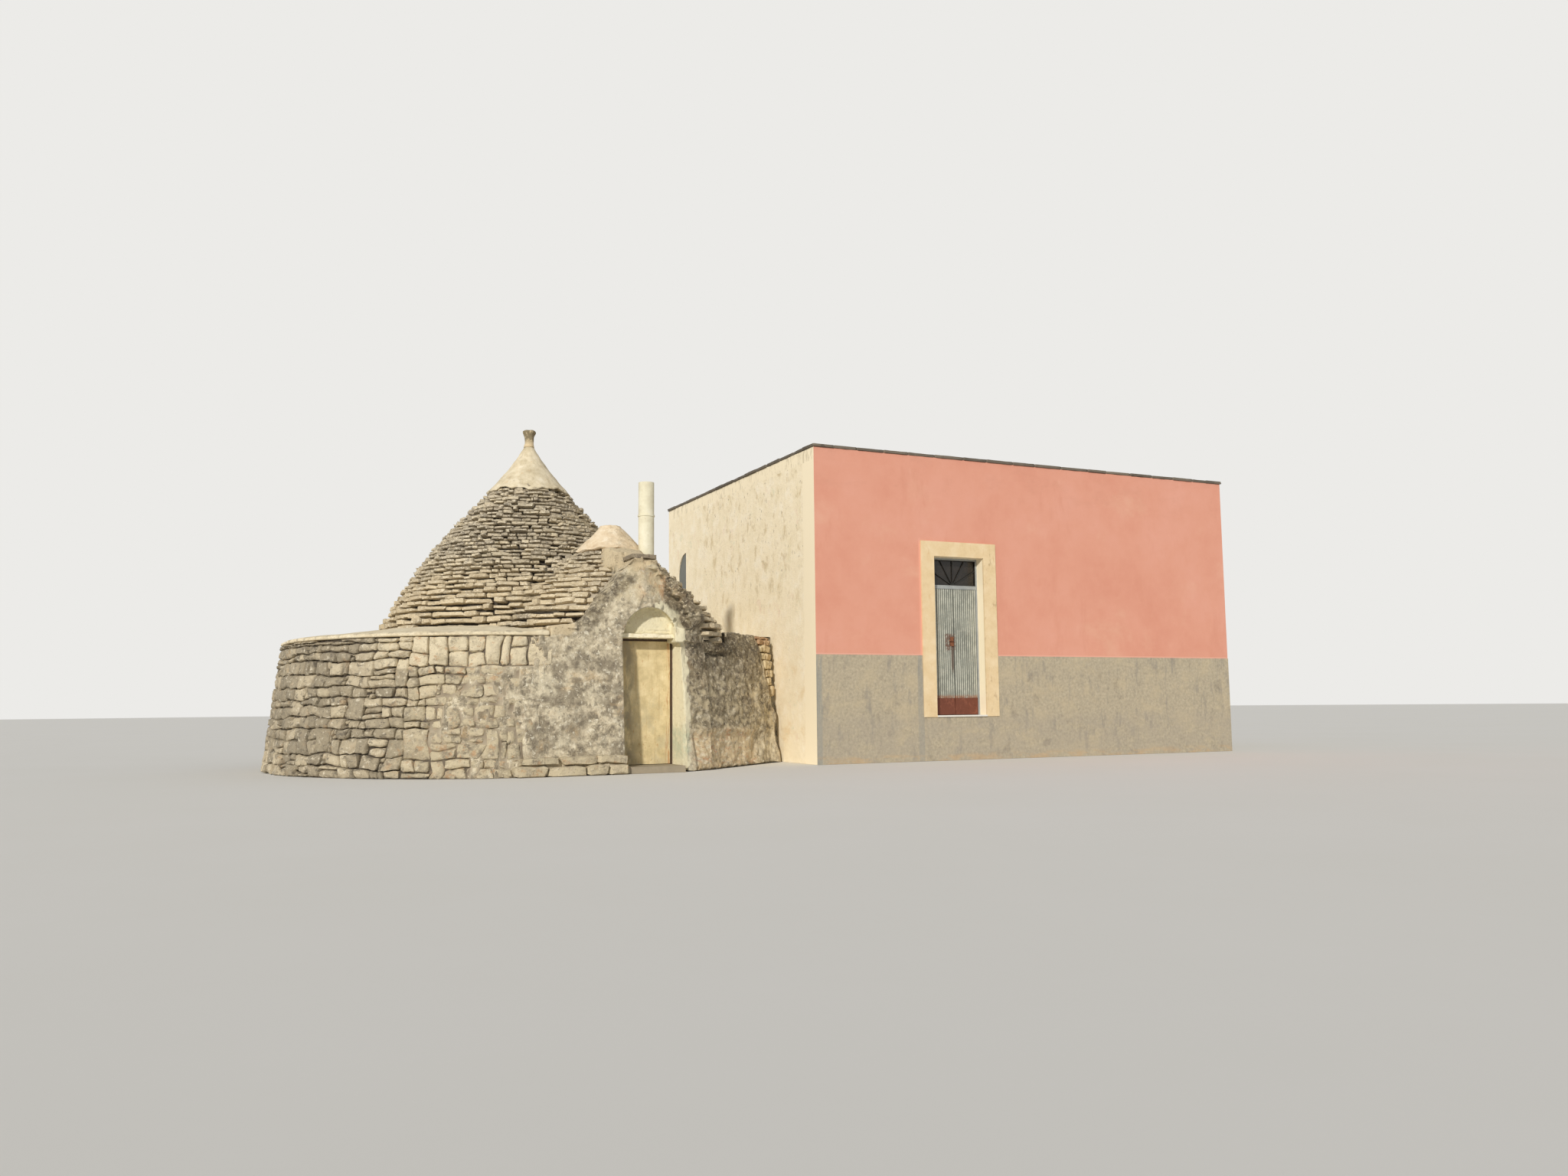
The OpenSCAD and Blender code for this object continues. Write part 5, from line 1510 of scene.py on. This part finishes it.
def small_cap():
    """A short cone of plaster with a flat top, round the foot of the chimney's pipe."""
    foot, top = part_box("small_cap")[0].z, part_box("small_cap")[1].z
    section = [(0.3, foot), (0.5, foot - 0.004), (0.524, foot + 0.012), (0.505, foot + 0.035), (0.405, foot + 0.14),
               (0.305, foot + 0.245), (0.21, foot + 0.345), (0.172, foot + 0.385), (0.155, top - 0.01),
               (0.14, top - 0.003), (0.06, top - 0.002), (0.0005, top - 0.002), (0.0005, foot + 0.2),
               (0.25, foot + 0.1)]
    made = turned("small_cap_plastered", section, 96)
    for vert in made.data.vertices:
        angle = math.atan2(vert.co.y, vert.co.x)
        if vert.co.z < foot + 0.05:
            vert.co.z += 0.016 * math.sin(angle * 3 + 1) + 0.01 * math.sin(angle * 11)
    shift(made, SMALL_AXIS.x, SMALL_AXIS.y)
    uneven(made, 0.15, 0.012, 14)
    for vert in made.data.vertices:
        vert.co.z = min(vert.co.z, top)
    dress(made, small_cap_plaster)
    pick(made)
    bpy.ops.object.shade_smooth_by_angle(angle=math.radians(35))
    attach(made, "house")
    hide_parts("small_cap")


def carved_pinnacle():
    """A turned stone: a waist over the cap and a cup with a flat top."""
    foot, top = CAP_TOP - 0.004, PINNACLE_TOP
    section = [(0.0005, foot), (0.088, foot), (0.083, foot + 0.03), (0.074, foot + 0.07), (0.072, foot + 0.13),
               (0.079, foot + 0.18), (0.096, foot + 0.225), (0.108, foot + 0.25), (0.109, top - 0.016),
               (0.1, top - 0.004), (0.06, top - 0.006), (0.0005, top - 0.006)]
    made = turned("carved_finial", section, 48)
    edit_all(made, (bpy.ops.mesh.remove_doubles, {"threshold": 0.002}),
             (bpy.ops.mesh.normals_make_consistent, {"inside": False}))
    uneven(made, 0.06, 0.007, 12)
    for vert in made.data.vertices:
        vert.co.z = min(vert.co.z, top)
    smooth_dress(made, pinnacle_stone)
    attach(made, "house")
    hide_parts("pinnacle")


def worn_ledge():
    """The ledge with a bitten outer rim and an inner edge that runs in under the slates."""
    made = copy_of("drum_ledge", "worn_ledge")
    remesh(made, 0.03, 6)
    inner_r, rim_r = 3.4, 3.5
    for vert, normal in with_normals(made):
        co = vert.co
        reach = math.hypot(co.x, co.y)
        inward = -(normal.x * co.x + normal.y * co.y) / reach
        if reach < inner_r:
            co += Vector((normal.x, normal.y, 0)) * 0.055 * smooth(0.15, 0.5, inward)
        co.z += 0.012 * lump(co, 0.3, 21) * smooth(WALL_TOP, WALL_TOP + 0.05, co.z)
        if reach > rim_r:
            bite = 0.006 + 0.03 * abs(lump(co, 0.35, 22)) + 0.012 * lump(co, 0.12, 23)
            factor = 1 - bite * smooth(rim_r, 3.72, reach) / reach
            co.x *= factor
            co.y *= factor
    smooth_dress(made, ledge_plaster)
    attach(made, "house")
    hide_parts("drum_ledge")


def capstone():
    """A rough thin slab on the gable, half covered by the plaster that runs down from the small cap."""
    made = copy_of("gable_capstone", "rough_capstone")
    remesh(made, 0.012, 2)
    uneven(made, 0.09, 0.014, 51)
    for vert in made.data.vertices:
        vert.co.z = min(vert.co.z - 0.05 * max(0.0, vert.co.x - 0.9), CAPSTONE_TOP)
    smooth_dress(made, slab_stone)
    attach(made, "house")
    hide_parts("gable_capstone")


def lintel_slab():
    """A rough thin slab; its ends lie under the plaster of the front."""
    made = copy_of("door_lintel", "lintel_slab")
    remesh(made, 0.014, 2)
    for vert, normal in with_normals(made):
        co = vert.co
        co += normal * (0.007 * lump(co, 0.09, 41) + 0.004 * lump(co, 0.03, 42))
        if co.y < -3.4:
            co.y = max(co.y, front_y(co.z) + 0.13 + 0.015 * lump(co, 0.12, 43))
    smooth_dress(made, whitewash)
    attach(made, "house")
    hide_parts("door_lintel")


main_cap()
small_cap()
lintel_slab()
capstone()
carved_pinnacle()
worn_ledge()


# Block: single thin slabs laid along the edge of its roof

def edge_slabs():
    rng = random.Random(31)
    low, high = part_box("roof_edge")
    blocks = [rough_block(60 + seed, 3, 0.05, 0.035) for seed in range(6)]
    heap = Heap()
    deep, shortest = 0.38, 0.15
    # Each side of the roof: where it starts, which way it runs and how long it is
    sides = [((low.x, low.y), (1, 0), high.x - low.x), ((high.x, low.y), (0, 1), high.y - low.y),
             ((high.x, high.y), (-1, 0), high.x - low.x), ((low.x, high.y), (0, -1), high.y - low.y)]
    for (x0, y0), (ax, ay), length in sides:
        s = 0.0
        while s < length - 0.02:
            long = min(rng.uniform(0.38, 0.62), length - s)
            if length - s - long < shortest:
                long = length - s
            middle = s + long / 2
            inset = rng.uniform(0.0, 0.016) + deep / 2
            at = (x0 + ax * middle - ay * inset, y0 + ay * middle + ax * inset, (low.z + high.z) / 2 - 0.001)
            heap.stone(rng.choice(blocks), (long - 0.006, deep, (high.z - low.z) * rng.uniform(0.82, 0.96)),
                       frame_of((ax, ay, 0), (-ay, ax, 0), rng.gauss(0, 0.004), rng.gauss(0, 0.003)), at,
                       own_tint(rng, 0.4, 0.25))
            s += long
    slabs = heap.piece("edge_slabs", [roof_edge_stone])
    for vert in slabs.data.vertices:
        vert.co = Vector([min(high[i], max(low[i], vert.co[i])) for i in range(3)])
    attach(slabs, "house")
    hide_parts("roof_edge")


edge_slabs()

make_camera()
make_light()
make_floor()
bpy.context.scene.view_settings.view_transform = "Standard"
